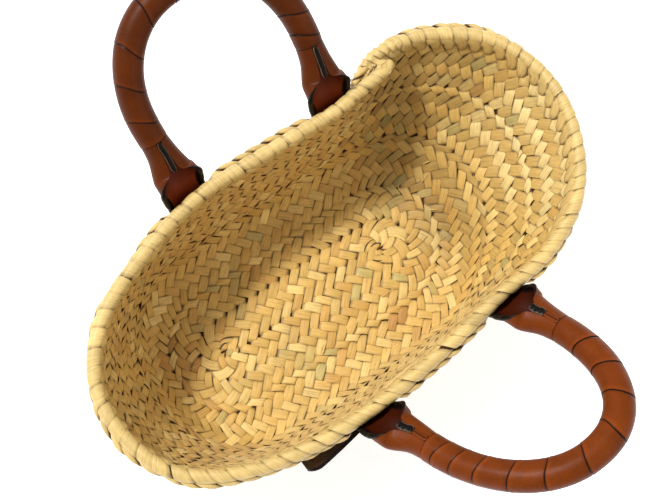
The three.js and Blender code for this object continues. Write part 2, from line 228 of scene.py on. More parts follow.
# Panel on the front wall
PATCH_LENGTH = 80.0
PATCH_HEIGHT = 44.0
PATCH_THICKNESS = 1.6
PATCH_MIDDLE = -29.5
PATCH_DROP = 8.0
PATCH_CORNER = 9.0
PATCH_LIFT = 13.5
PATCH_FOOT_LIFT = 3.0
PATCH_LIFTED_LENGTH = 66.0

# Fineness of the curves: points for each span of the mouth, round the mouth, and round a ring of the braid
SPAN_STEPS = 200
MOUTH_STEPS = 4000
RING_STEPS = 2880
GRAIN_RANGE = 500

UP = np.array([0.0, 0.0, 1.0])
ROLL_RADIUS = ROLL_DIAMETER / 2


def unit(vectors):
    return vectors / np.maximum(np.linalg.norm(vectors, axis=-1, keepdims=True), 1e-12)


def mix(a, b, share):
    return a + (b - a) * share


def smooth_step(value, low, high):
    share = np.clip((value - low) / (high - low), 0, 1)
    return share * share * (3 - 2 * share)


def opaque(colours):
    """Colours with an alpha of one."""
    return np.concatenate([colours, np.ones_like(colours[..., :1])], axis=-1)


def layered(shape, *values):
    """Values spread over one shape and stacked as vectors."""
    return np.stack([np.broadcast_to(value, shape) for value in values], axis=-1)


def circle(sides):
    return 2 * np.pi * np.arange(sides) / sides


def swung(angle, first, second):
    """Ways at angles from the first of two square ways to the second."""
    return np.cos(angle)[..., None] * first + np.sin(angle)[..., None] * second


def lengths_along(line):
    """Distance along a line to each of its points."""
    return np.concatenate([[0], np.cumsum(np.linalg.norm(np.diff(line, axis=0), axis=1))])


def points_at(line, run, places):
    """Points of a line at distances along it."""
    return np.stack([np.interp(places, run, column) for column in line.T], axis=-1)


# Mouth curve

def closed_curve(points, per_span):
    """Centripetal Catmull-Rom curve through the points."""
    points = np.asarray(points, float)
    share = np.arange(per_span)[:, None] / per_span
    spans = []
    for i in range(len(points)):
        p0, p1, p2, p3 = (points[(i + k) % len(points)] for k in (-1, 0, 1, 2))
        d0, d1, d2 = (math.sqrt(np.linalg.norm(b - a)) for a, b in ((p0, p1), (p1, p2), (p2, p3)))
        out = ((p1 - p0) / d0 - (p2 - p0) / (d0 + d1) + (p2 - p1) / d1) * d1
        into = ((p2 - p1) / d1 - (p3 - p1) / (d1 + d2) + (p3 - p2) / d2) * d1
        square = -3 * p1 + 3 * p2 - 2 * out - into
        cube = 2 * p1 - 2 * p2 + out + into
        spans.append(p1 + share * out + share**2 * square + share**3 * cube)
    return np.concatenate(spans)


def closed(points):
    return np.vstack([points, points[:1]])


mouth_ring = closed(closed_curve(
    [(MOUTH_MIDDLE[0] + a * MOUTH_LENGTH / 2, MOUTH_MIDDLE[1] + b * MOUTH_WIDTH / 2) for a, b in MOUTH],
    SPAN_STEPS))
mouth_lengths = lengths_along(mouth_ring)
PERIMETER = mouth_lengths[-1]
ROLL_LENGTH = PERIMETER + ROLL_OVERLAP


def mouth_at(fraction):
    """Points of the mouth curve at shares of its length."""
    return points_at(mouth_ring, mouth_lengths, np.mod(fraction, 1) * PERIMETER)


def rim_frame(fraction):
    """The roll's middle, the way along it and the way out."""
    step = 0.6 / PERIMETER
    flat = mouth_at(fraction)
    along = unit(mouth_at(fraction + step) - mouth_at(fraction - step))
    along = np.concatenate([along, np.zeros_like(along[..., :1])], axis=-1)
    middle = np.concatenate([flat, np.full_like(flat[..., :1], RIM_HEIGHT)], axis=-1)
    return middle, along, np.cross(along, UP)


def fraction_at(x, side):
    """Share of the mouth's length at a place along the bag, on one long side."""
    shares = np.arange(MOUTH_STEPS) / MOUTH_STEPS
    points = mouth_at(shares)
    miss = np.where((points[:, 1] - MOUTH_MIDDLE[1]) * side > 0, np.abs(points[:, 0] - x), np.inf)
    return shares[np.argmin(miss)]


roll_start = fraction_at(EYE_SPACING / 2 + ROLL_START_FROM_EYE, 1)

# Middle of the basket's shell, as a grid of columns round the mouth by levels from the eye line to the rim

COLUMNS = 720
LEVELS = 240


def column_profile(reach, base_reach):
    """Distances out and heights from the eye line, across the floor, round the foot and up the wall."""
    corner = np.array([base_reach, WALL / 2])
    top = np.array([reach, RIM_HEIGHT])
    height = np.linalg.norm(top - corner)
    slope = (top - corner) / height

    def wall(drop):
        share = np.asarray(drop)[:, None] / height
        bow = WALL_BOW * 4 * share * (1 - share)
        return mix(top, corner, share) + bow * np.array([slope[1], -slope[0]])

    floor_edge = corner - (FOOT_RADIUS, 0)
    foot_top = wall([height - FOOT_RADIUS])[0]
    floor = mix(np.array([0, WALL / 2]), floor_edge, np.linspace(0, 1, 40)[:, None])
    turn = np.linspace(0, 1, 24)[1:, None]
    foot = mix(mix(floor_edge, corner, turn), mix(corner, foot_top, turn), turn)
    rising = wall(np.linspace(height - FOOT_RADIUS, 0, 80)[1:])
    line = np.vstack([floor, foot, rising])
    run = lengths_along(line)
    even = np.linspace(0, run[-1], LEVELS)
    return np.interp(even, run, line[:, 0]), np.interp(even, run, line[:, 1]), run[-1]


def shell_grid():
    rim = mouth_at(np.arange(COLUMNS) / COLUMNS)
    start = np.stack([np.clip(rim[:, 0], -EYE_SPACING / 2, EYE_SPACING / 2), np.zeros(COLUMNS)], axis=1)
    reach = np.linalg.norm(rim - start, axis=1)
    ray = (rim - start) / reach[:, None]
    side_reach = np.where(ray[:, 1] > 0, BASE_BACK_REACH, BASE_FRONT_REACH)
    base_reach = np.hypot(BASE_END_REACH * ray[:, 0], side_reach * ray[:, 1])
    points = np.zeros((COLUMNS, LEVELS, 3))
    lengths = np.zeros(COLUMNS)
    for i in range(COLUMNS):
        out, height, lengths[i] = column_profile(reach[i], base_reach[i])
        points[i, :, :2] = start[i] + out[:, None] * ray[i]
        points[i, :, 2] = height
    across = np.roll(points, -1, axis=0) - np.roll(points, 1, axis=0)
    rising = np.gradient(points, axis=1)
    normals = unit(np.cross(across, rising))
    normals[:, :2] = -UP
    return points, normals, lengths


shell_points, shell_normals, shell_lengths = shell_grid()


def sample_shell(grid, fraction, level):
    """Bilinear sample, closed round the mouth."""
    column = np.mod(fraction, 1) * COLUMNS
    left = np.floor(column).astype(int)
    beside = (column - left)[..., None]
    row = np.clip(level, 0, 1) * (LEVELS - 1)
    low = np.minimum(np.floor(row).astype(int), LEVELS - 2)
    above = (row - low)[..., None]
    left = left % COLUMNS
    right = (left + 1) % COLUMNS
    lower = mix(grid[left, low], grid[right, low], beside)
    upper = mix(grid[left, low + 1], grid[right, low + 1], beside)
    return mix(lower, upper, above)


def on_shell(fraction, level, out):
    """Points a distance off the shell's middle; a positive distance is outside."""
    fraction, level, out = np.broadcast_arrays(fraction, level, out)
    normal = unit(sample_shell(shell_normals, fraction, level))
    return sample_shell(shell_points, fraction, level) + normal * out[..., None]


def level_at(fraction, drop):
    """Level a distance down from the middle of the roll."""
    length = np.interp(np.mod(fraction, 1) * COLUMNS, np.arange(COLUMNS), shell_lengths, period=COLUMNS)
    return 1 - drop / length


# Meshes. A plate is a closed thin shell made from a grid of points for its top and one for its bottom.

def plate_faces(rows, columns, wrapped):
    """Quads of one plate whose vertices are its top grid, then its bottom grid."""
    index = np.arange(rows * columns).reshape(rows, columns)
    beneath = index + rows * columns
    if wrapped:
        index = np.hstack([index, index[:, :1]])
        beneath = np.hstack([beneath, beneath[:, :1]])
    top = np.stack([index[:-1, :-1], index[1:, :-1], index[1:, 1:], index[:-1, 1:]], axis=-1).reshape(-1, 4)
    bottom = np.stack(
        [beneath[:-1, :-1], beneath[:-1, 1:], beneath[1:, 1:], beneath[1:, :-1]], axis=-1).reshape(-1, 4)

    def side(upper, lower):
        return np.stack([upper[:-1], upper[1:], lower[1:], lower[:-1]], axis=-1)

    sides = [side(index[0], beneath[0]), side(index[-1][::-1], beneath[-1][::-1])]
    if not wrapped:
        sides.append(side(index[:, -1], beneath[:, -1]))
        sides.append(side(index[:, 0][::-1], beneath[:, 0][::-1]))
    return np.concatenate([top, bottom, *sides])


def placed(name, data):
    """A new object in the scene."""
    thing = bpy.data.objects.new(name, data)
    bpy.context.scene.collection.objects.link(thing)
    return thing


def build_mesh(name, vertices, faces, material, leaf, strand, sharp):
    """One piece, with its colour and its place on the strand at each point."""
    mesh = bpy.data.meshes.new(name)
    mesh.from_pydata((vertices * MM).tolist(), [], faces.tolist())
    mesh.polygons.foreach_set("use_smooth", np.ones(len(faces), bool))
    mesh.set_sharp_from_angle(angle=math.radians(sharp))
    colours = mesh.attributes.new("leaf", "FLOAT_COLOR", "POINT")
    colours.data.foreach_set("color", np.ascontiguousarray(leaf, np.float32).ravel())
    places = mesh.attributes.new("strand", "FLOAT_VECTOR", "POINT")
    places.data.foreach_set("vector", np.ascontiguousarray(strand, np.float32).ravel())
    mesh.materials.append(material)
    mesh.update()
    piece = placed(name, mesh)
    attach(piece, "root")
    return piece


def plates(name, top, bottom, material, tint, strand=np.zeros(3), wrapped=False, sharp=50, under=None):
    """Many closed plates in one piece. top and bottom are (plates, rows, columns, 3).

    tint and strand are the top's and the bottom's, unless under gives the bottom a tint of its own.
    """
    count, rows, columns = top.shape[:3]
    faces = plate_faces(rows, columns, wrapped)
    vertices = np.stack([top.reshape(count, -1, 3), bottom.reshape(count, -1, 3)], axis=1)
    a, b, c = (vertices[0, 0, k] for k in (0, columns, 1))
    if np.dot(np.cross(b - a, c - a), top[0, 0, 0] - bottom[0, 0, 0]) < 0:
        faces = faces[:, ::-1]
    every = (faces[None] + np.arange(count)[:, None, None] * 2 * rows * columns).reshape(-1, 4)

    def both(upper, lower):
        shape = (count, rows, columns, upper.shape[-1])
        sheets = [np.broadcast_to(sheet, shape) for sheet in (upper, lower)]
        return np.stack(sheets, axis=1).reshape(-1, shape[-1])

    leaf = both(tint, tint if under is None else under)
    return build_mesh(name, vertices.reshape(-1, 3), every, material, leaf, both(strand, strand), sharp)


# Materials

class Graph:
    """The nodes of one material, round a principled shader."""

    def __init__(self, name, roughness, specular, sheen=0.0):
        self.material = bpy.data.materials.new(name)
        self.material.use_nodes = True
        self.nodes = self.material.node_tree.nodes
        self.links = self.material.node_tree.links
        self.nodes.clear()
        inputs = {"Roughness": roughness, "Specular IOR Level": specular, "Sheen Weight": sheen}
        self.shader = self.add("ShaderNodeBsdfPrincipled", inputs)
        self.add("ShaderNodeOutputMaterial", {"Surface": self.shader.outputs[0]})

    def add(self, kind, inputs, **settings):
        """A node whose inputs are linked to other nodes' outputs or set to values."""
        node = self.nodes.new(kind)
        for name, value in settings.items():
            setattr(node, name, value)
        for name, value in inputs.items():
            if isinstance(value, bpy.types.NodeSocket):
                self.links.new(value, node.inputs[name])
            else:
                node.inputs[name].default_value = value
        return node

    def attribute(self, name, output):
        return self.add("ShaderNodeAttribute", {}, attribute_name=name).outputs[output]

    def object_place(self):
        return self.add("ShaderNodeTexCoord", {}).outputs["Object"]

    def noise(self, vector, scale, detail=4.0, rough=0.6):
        inputs = {"Vector": vector, "Scale": scale, "Detail": detail, "Roughness": rough}
        return self.add("ShaderNodeTexNoise", inputs).outputs["Fac"]

    def ramp(self, value, stops):
        """Grey ramp from (position, brightness) stops."""
        node = self.add("ShaderNodeValToRGB", {"Fac": value})
        elements = node.color_ramp.elements
        while len(elements) < len(stops):
            elements.new(0.5)
        for element, (place, grey) in zip(elements, stops):
            element.position = place
            element.color = (grey, grey, grey, 1)
        return node.outputs["Color"]

    def times(self, first, second):
        """Product of two colours."""
        inputs = {0: 1.0, 6: first, 7: second}
        return self.add("ShaderNodeMix", inputs, data_type="RGBA", blend_type="MULTIPLY").outputs[2]

    def bump(self, height, distance, strength, before=None):
        inputs = {"Distance": distance * MM, "Strength": strength, "Height": height}
        if before is not None:
            inputs["Normal"] = before
        return self.add("ShaderNodeBump", inputs).outputs[0]

    def finish(self, colour, normal):
        self.links.new(colour, self.shader.inputs["Base Color"])
        self.links.new(normal, self.shader.inputs["Normal"])
        return self.material


def leaf_material(name, roughness, sheen):
    """Dried palm leaf: tint of each strand, long fibres, faint blotches."""
    graph = Graph(name, roughness, 0.4, sheen)
    strand = graph.attribute("strand", "Vector")
    stretched = graph.add("ShaderNodeVectorMath", {0: strand, 1: (0.07, 1.25, 1.0)}, operation="MULTIPLY")
    fibre = graph.noise(stretched.outputs[0], 1.0, 6.0, 0.7)
    streak = graph.ramp(fibre, [(0.28, 0.54), (0.46, 0.95), (0.75, 1.2)])
    blotch = graph.ramp(graph.noise(graph.object_place(), 160.0, 3.0), [(0.3, 0.9), (0.7, 1.06)])
    colour = graph.times(graph.times(graph.attribute("leaf", "Color"), streak), blotch)
    return graph.finish(colour, graph.bump(fibre, 0.45, 0.7))


def leather_material(name, roughness):
    """Leather: tint painted on the mesh, fine grain, creases and wear."""
    graph = Graph(name, roughness, 0.1)
    place = graph.object_place()
    cloud = graph.ramp(graph.noise(place, 70.0, 4.0), [(0.3, 0.82), (0.7, 1.12)])
    grain = graph.noise(place, 900.0, 3.0)
    speck = graph.ramp(grain, [(0.35, 0.88), (0.65, 1.05)])
    colour = graph.times(graph.times(graph.attribute("leaf", "Color"), cloud), speck)
    creases = graph.bump(graph.noise(place, 260.0, 5.0, 0.7), 0.3, 0.5)
    return graph.finish(colour, graph.bump(grain, 0.12, 0.6, creases))


def plain_material(name, colour, roughness, emission=0.0):
    graph = Graph(name, roughness, 0.2)
    graph.shader.inputs["Base Color"].default_value = (*colour, 1)
    graph.shader.inputs["Emission Color"].default_value = (*colour, 1)
    graph.shader.inputs["Emission Strength"].default_value = emission
    return graph.material


def srgb(red, green, blue):
    """Linear colour from 0 to 255 display values."""
    values = np.array([red, green, blue]) / 255
    return np.where(values <= 0.04045, values / 12.92, ((values + 0.055) / 1.055) ** 2.4)


straw = leaf_material("straw_leaf", 0.55, 0.1)
strip = leaf_material("rim_strip", 0.42, 0.05)
# Painted shade for the dark sheet inside the braid and the dark insides of the cords
painted_shade_material = plain_material("braid_shade", srgb(58, 36, 14), 0.9)
tan = leather_material("tan_leather", 0.42)
dark = leather_material("dark_leather", 0.4)

STRAW_TONES = {
    "tan": srgb(202, 165, 90), "pale": srgb(222, 194, 124), "ochre": srgb(192, 148, 74),
    "green": srgb(170, 156, 96), "brown": srgb(172, 122, 60),
}
TONE_SHARES = {"tan": 0.6, "pale": 0.21, "ochre": 0.15, "green": 0.03, "brown": 0.01}

# Places where one tone is common: x, y and radius
TONE_PLACES = [("green", -16.0, -32.0, 17.0), ("brown", 46.0, -56.0, 12.0), ("green", 92.0, 24.0, 15.0),
               ("pale", 96.0, -8.0, 14.0), ("brown", -96.0, 10.0, 14.0)]
TONE_PLACE_CHANCE = 0.45
STRIP_TONE = srgb(206, 178, 114)
# Painted shade: under the next strands, in the gaps, inside the cords and in the creases round the eyes
SHADE_TONE = srgb(74, 46, 18)
CORE_SHADE_TONE = srgb(70, 44, 18)
PALE_STRAW = srgb(228, 206, 146)
LEATHER_TONE = srgb(116, 52, 9)
LEATHER_INSIDE = srgb(92, 34, 11)
LEATHER_EDGE = srgb(16, 11, 9)
KEEPER_HIGHLIGHT = srgb(150, 126, 104)
DARK_TONE = srgb(52, 28, 18)
DARK_INSIDE = srgb(84, 60, 46)
THREAD_TINT = opaque(srgb(40, 24, 16))


def strand_tints(points, leans=0.0):
    """One colour for each strand, by where its middle is and which way it leans, with painted light and
    shadow in places.
    """
    count = len(points)
    names = list(TONE_SHARES)
    picks = random.choice(len(names), size=count, p=list(TONE_SHARES.values()))
    for tone, x, y, radius in TONE_PLACES:
        near = np.hypot(points[:, 0] - x, points[:, 1] - y) < radius
        picks = np.where(near & (random.random(count) < TONE_PLACE_CHANCE), names.index(tone), picks)
    palette = np.array([STRAW_TONES[n] for n in names])
    colours = palette[picks] * (1 + 0.06 * random.standard_normal((count, 1)))
    colours = mix(STRAW_TONES["tan"], colours, random.uniform(0.25, 0.85, (count, 1)))
    # Painted shadow at the foot of the right end and in its back corner; paler on the front wall
    x, y = points[:, 0], points[:, 1]
    far_end = smooth_step(x, 136, 170) * (1 - smooth_step(y, 20, 50))
    painted_shadow = 0.33 * np.exp(-(((x - 116) / 26) ** 2)) * smooth_step(y, -60, -10)
    painted_shadow = painted_shadow + 0.22 * np.exp(-(np.hypot(x - 165, y - 66) / 38) ** 2)
    # Painted light towards the right end: strands of one lean lighter, the others darker
    colours = colours * (1 - painted_shadow + 0.1 * leans * smooth_step(x, 60, 120))[:, None]
    # Painted light on the right end's wall, which is paler, most on strands of one lean
    paler = 0.3 * far_end * (1.3 + leans) + 0.3 * smooth_step(-y, 52, 78) * (1 - smooth_step(x, 90, 130))
    colours = mix(colours, PALE_STRAW, paler[:, None])
    return opaque(np.clip(colours, 0, 1))


# Braid

row_weights = [0.5] + [SEAM_ROW if row in SEAM_ROWS else 1 for row in range(1, LAST_ROW + 1)]
row_edges = np.concatenate([[0], np.cumsum(row_weights)]) / sum(row_weights)


def row_level(row):
    """Level of a place counted in rows from the eye line."""
    return np.interp(np.abs(row), np.concatenate([[0], np.arange(LAST_ROW + 1) + 0.5]), row_edges)


class Ring:
    """One group of rows that share their strands: places round it are counted in strands."""

    def __init__(self, middle_row):
        shares = np.arange(RING_STEPS) / RING_STEPS
        line = sample_shell(shell_points, shares, np.full(len(shares), row_level(middle_row)))
        run = lengths_along(closed(line))
        self.count = round(run[-1] / STRAND_PITCH)
        self.shares = np.append(shares, 1)
        self.run = run / run[-1]

    def fraction(self, place):
        turns = np.floor(place / self.count)
        return turns + np.interp(place / self.count - turns, self.run, self.shares)


def float_grid(places):
    """Places on a float, from -1 to 1 over its visible length and its width."""
    long_places, wide_places = places
    return np.array(long_places)[None, :, None], np.array(wide_places)[None, None, :]


def shaded(tints, amount):
    """Strand colours with painted shade: they darken by an amount where a strand goes under the next ones."""
    colours = tints[:, None, None, :3]
    return opaque(mix(colours, colours * SHADE_TONE / STRAW_TONES["tan"], amount[..., None]))


def float_shade(grid, count):
    # Painted shade where a float goes under its neighbours: at its ends, and along one long side
    along, across = grid
    ends = random.uniform(0.5, 1.0, (count, 1, 1)) * smooth_step(np.abs(along), 0.9, 1.08)
    one_side = random.choice((-1, 1), (count, 1, 1), p=(0.25, 0.75))
    sides = random.uniform(0.05, 0.85, (count, 1, 1)) * smooth_step(across * one_side, 0.7, 1.0)
    return np.maximum(ends, sides)


def float_places(centres, rows, lean, grid, length, width, steepness):
    """Places in strands and rows of the points of floats that lean one way or the other."""
    run, row_height = steepness
    square = (run * STRAND_PITCH) ** 2 + row_height**2
    aside = 0.5 * row_height**2 / square
    upward = 0.5 * run * STRAND_PITCH**2 / square
    along, across = grid
    spin = random.normal(0, 0.07, len(centres))[:, None, None]
    a = 0.5 * along * length
    b = across * width
    lean = lean[:, None, None]
    place = centres[:, None, None] + lean * (run * a * (1 + spin) - aside * b * (1 - spin))
    row = rows[:, None, None] + a * (1 - spin) + upward * b * (1 + spin)
    return place, row


def float_height(grid, crown, rise, count):
    """Height of the top of each float over the braid's middle."""
    along, across = grid
    over = np.cos(np.pi / 2 * along)
    arch = rise * np.sign(over) * np.abs(over) ** 0.55
    tilt = (0.1 + random.normal(0, 0.17, count)[:, None, None]) * across
    nod = random.normal(0, 0.1, count)[:, None, None] * along
    lift = random.normal(0, 0.12, count)[:, None, None]
    return arch - crown * across**2 + tilt + nod + lift


def braid_rows(first, last):
    """Centres, rows and leans of the floats of a group of rows, and its ring."""
    ring = Ring((first + last) / 2)
    rows = np.repeat(np.arange(first, last + 1.0), ring.count)
    even = rows % 2 == 0
    centres = np.tile(np.arange(ring.count), last + 1 - first) + np.where(even, 0, 0.5)
    return centres, rows, np.where(even, 1.0, -1.0), ring


def strand_places(shape, along, across):
    """Places along and across each strand, and a number that gives it a grain of its own."""
    return layered(shape, along, across, random.uniform(0, GRAIN_RANGE, shape[0])[:, None, None])


def float_looks(top, grid, leans=0.0):
    """Colour and place on the strand at each point of some floats."""
    tint = shaded(strand_tints(top[:, top.shape[1] // 2, 0], leans), float_shade(grid, len(top)))
    along, across = grid
    return tint, strand_places(top.shape[:3], along * STRAND_PITCH * 0.7, across * STRAND_PITCH * 0.35)


def braid_face(name, groups, facing, face):
    """Floats over one face of the shell. facing is 1 outside and -1 inside."""
    parts = []
    for first, last in groups:
        centres, rows, leans, ring = braid_rows(first, last)
        leans = leans * facing
        grid = float_grid(face["places"])
        seam = np.isin(rows, SEAM_ROWS)[:, None, None]
        length = np.where(seam, SEAM_FLOAT_LENGTH, 1)
        width = random.uniform(0.93, 1.08, len(centres))[:, None, None]
        steepness = WALL_STEEPNESS if (first, last) in WALL_GROUPS else BASE_STEEPNESS
        place, row = float_places(centres, rows, leans, grid, length, width, steepness)
        fraction = ring.fraction(place)
        level = row_level(np.clip(row, 0.02, LAST_ROW + 0.5))
        height = face["base"] + float_height(grid, face["crown"], face["rise"], len(centres))
        height = np.minimum(height + np.where(seam, SEAM_FLOAT_LIFT, 0), face["most"])
        top = on_shell(fraction, level, facing * height)
        bottom = on_shell(fraction, level, facing * (height - FLOAT_THICKNESS))
        parts.append((top, bottom, *float_looks(top, grid, leans)))
    top, bottom, tint, strand = (np.concatenate(part) for part in zip(*parts))
    return plates(name, top, bottom, straw, tint, strand)


def eye_row(name, facing, face):
    """The straight row of floats between the two eyes."""
    count = round(EYE_SPACING / STRAND_PITCH)
    grid = float_grid(face["places"])
    along, across = grid
    pitch = EYE_SPACING / count
    centres = (np.arange(count) + 0.5) * pitch - EYE_SPACING / 2
    width = random.uniform(0.9, 1.0, count)[:, None, None]
    half = row_edges[1] * shell_lengths.mean()
    a = along * np.ones((count, 1, 1))
    b = 0.5 * across * width
    x = centres[:, None, None] - facing * pitch * (0.5 * a - 0.5 * b)
    y = half * (a + b)
    height = np.minimum(face["base"] + float_height(grid, face["crown"], face["rise"], count), face["most"])
    top = np.stack([x, y, WALL / 2 - facing * height], axis=-1)
    tint, strand = float_looks(top, grid)
    return plates(name, top, top + facing * FLOAT_THICKNESS * UP, straw, tint, strand)


def braid_core():
    """A dark sheet of painted shade inside the braid, seen in its gaps."""
    fraction = (np.arange(240) / 240)[None, None, :]
    level = np.linspace(0, 0.985, 60)[None, :, None]
    outside, inside = (on_shell(fraction, level, side * CORE_HALF_THICKNESS) for side in (1, -1))
    return plates("braid_core", outside, inside, painted_shade_material, opaque(CORE_SHADE_TONE), wrapped=True)


def eye_curls():
    """The first strands of the coil, curled tightly round each eye, with painted shade in the creases between
    them.
    """
    share = np.linspace(-1, 1, 15)
    paths = []
    for side in (-1, 1):
        for radius, start, sweep, rise in EYE_CURLS:
            angle = np.radians(start + sweep * share / 2)
            spiral = radius * (1 + 0.12 * share)
            x = side * (EYE_SPACING / 2 + 1.15 * spiral * np.cos(angle))
            height = WALL / 2 + EYE_CURL_HEIGHT + rise - EYE_CURL_DIP * share**4
            paths.append(np.stack([x, spiral * np.sin(angle), height], axis=-1))
    paths = np.array(paths)
    middles = paths[:, len(share) // 2]
    curls = laid_strips("eye_curls", paths, EYE_CURL_WIDTH, UP, straw, strand_tints(middles))
    eyes = np.sign(middles) * (EYE_SPACING / 2, 0, 0)
    lines = paths + unit((paths - eyes[:, None]) * (1, 1, 0)) * CREASE_OFFSET - UP * 0.2
    radii = CREASE_RADIUS * np.sin(np.linspace(0.1, np.pi - 0.1, len(share))) * np.ones((len(paths), 1))
    creased = np.arange(len(paths)) % len(EYE_CURLS) < CREASED_CURLS
    # Painted shade in the creases
    creases = path_tube("eye_crease_shade", lines[creased], radii[creased], 6, straw, opaque(SHADE_TONE * 0.4))
    return [curls, creases]


def stray_fibres():
    """Thin split fibres: long ones along the front wall and short frayed ones anywhere inside."""
    share = np.linspace(0, 1, FIBRE_POINTS)
    front = fraction_at(FIBRE_START, -1)
    paths, radii = [], []
    for _ in range(LONG_FIBRES):
        run = random.uniform(12, 42) / PERIMETER
        fraction = front - random.uniform(0, 0.24) + run * share
        level = random.uniform(0.8, 0.965) + random.normal(0, 0.012) * share
        paths.append(on_shell(fraction, level, -3.1 - 0.4 * np.sin(np.pi * share)))
        radii.append(random.uniform(0.28, 0.5) * np.sin(np.linspace(0.3, np.pi - 0.3, FIBRE_POINTS)))
    for _ in range(FRAYED_FIBRES):
        fraction = random.random() + random.normal(0, 0.008) * share
        level = random.uniform(0.1, 0.93) + random.normal(0, 0.035) * share
        paths.append(on_shell(fraction, level, -2.4 - random.uniform(0.5, 2.2) * share**2))
        radii.append(np.linspace(0.4, 0.12, FIBRE_POINTS) * random.uniform(0.7, 1.1))
    tints = strip_tints(len(paths))[:, None, None] * np.array([1.08, 1.08, 1.12, 1.0])
    return path_tube("stray_fibres", paths, radii, 6, straw, np.clip(tints, 0, 1))


# Cords with wraps: the rim roll and the row of braid beside it

def roll_line(travelled):
    """Middle, ways along and out, and radius of the roll at distances along it, which runs clockwise."""
    left = ROLL_LENGTH - travelled
    near_start = travelled < left

    def table(column):
        at_start = np.interp(travelled / ROLL_START_RUN, ROLL_START["run"], ROLL_START[column])
        at_end = np.interp(left / ROLL_END_RUN, ROLL_END["run"], ROLL_END[column])
        return np.where(near_start, at_start, at_end)

    radius = ROLL_RADIUS * table("size")
    aside = table("side") * (WALL / 2 + radius + CLEARANCE)
    middle, along, outward = rim_frame(roll_start - travelled / PERIMETER)
    middle = middle + outward * aside[..., None] + UP * (ROLL_RADIUS * table("rise"))[..., None]
    return middle, -along, outward, radius


def outer_row_line(travelled):
    """The last row of the coil, outside the roll. It is tucked under the leather ends."""
    middle, along, outward = rim_frame(-travelled / PERIMETER)
    from_tabs = [np.linalg.norm(middle - place["middle"], axis=-1) for place in tab_places.values()]
    nearest = np.min(from_tabs, axis=0)
    clear = smooth_step(nearest, TAB_FLAT_WIDTH / 2 + 2, TAB_FLAT_WIDTH / 2 + 9)
    free = smooth_step(np.abs(outward[..., 1]), 0.55, 0.85) * clear
    further = np.zeros_like(free)
    for x, y, spread, more in OUTER_ROW_PLACES:
        away = np.hypot(middle[..., 0] - x, middle[..., 1] - y)
        further = further + more * np.exp(-((away / spread) ** 2))
    reach = mix(OUTER_CORD_END_REACH, OUTER_CORD_REACH, free) + further * clear
    reach = np.maximum(reach, OUTER_CORD_LEAST_REACH)
    middle = middle + outward * reach[..., None] - UP * OUTER_CORD_DROP
    return middle, -along, outward, np.full_like(free, OUTER_CORD_RADIUS)


def wrap_starts(line, length, pitches):
    """Distances along a cord of its wraps, and their pitch, from the left end's to the right end's."""
    travelled = np.linspace(0, length, 2400)
    pitch = np.interp(line(travelled)[0][:, 0], WRAP_PITCH_PLACES, pitches)
    count = np.concatenate([[0], np.cumsum(np.diff(travelled) / pitch[1:])])
    starts = np.interp(np.arange(0.5, count[-1] - 0.2), count, travelled)
    pitch = np.interp(starts, travelled, pitch)
    return starts + random.normal(0, 0.06, len(starts)) * pitch, pitch[:, None, None]


def wrapped_cord(name, line, length, wrap):
    """Strips wound round a cord, each a plate of its own that lies on the one before."""
    starts, pitch = wrap_starts(line, length, wrap["pitch"])
    count = len(starts)
    turn = np.linspace(-WRAP_HALF_TURN, WRAP_HALF_TURN, wrap["rows"])[None, :, None]
    across = np.array([-1, -0.86, -0.5, 0, 0.5, 0.86, 1])[None, None, :]
    width = (wrap["width"] + random.normal(0, 0.04, count))[:, None, None]
    front = np.clip(-line(starts)[2][:, 1], 0, 1)
    slant = (wrap["slant"] + wrap["front_slant"] * front + random.normal(0, 0.1, count))[:, None, None]
    travelled = starts[:, None, None] + slant * pitch * turn + 0.5 * pitch * across * width
    travelled = np.clip(travelled, 0.2, length - 0.2)
    middle, _, outward, radius = line(travelled)
    direction = swung(np.pi / 2 + 2 * np.pi * turn * np.ones_like(across), outward, UP)
    puff = random.uniform(0.7, 1.3, count)[:, None, None]
    swell = wrap["crown"] * puff * (1 - across**2) + wrap["lay"] * across
    inset = wrap["crown"] + wrap["lay"] * 0.6
    height = radius * wrap["share"] - inset + swell
    top = middle + direction * height[..., None]
    bottom = middle + direction * (height - WRAP_THICKNESS)[..., None]
    # Painted shade along each wrap's low edge, under the next wrap, and on the cord's sides along its high
    # edge too
    creases = np.abs(np.sin(2 * np.pi * turn)) ** 2
    amount = smooth_step(-across, 0.6, 0.9) * (0.42 + 0.58 * creases)
    amount = np.maximum(amount, 0.8 * smooth_step(across, 0.84, 1.0) * creases) * np.ones_like(puff)
    strand = strand_places(travelled.shape, turn * 2 * np.pi * 5, across * pitch / 2)
    return plates(name, top, bottom, strip, shaded(strip_tints(count), amount), strand)


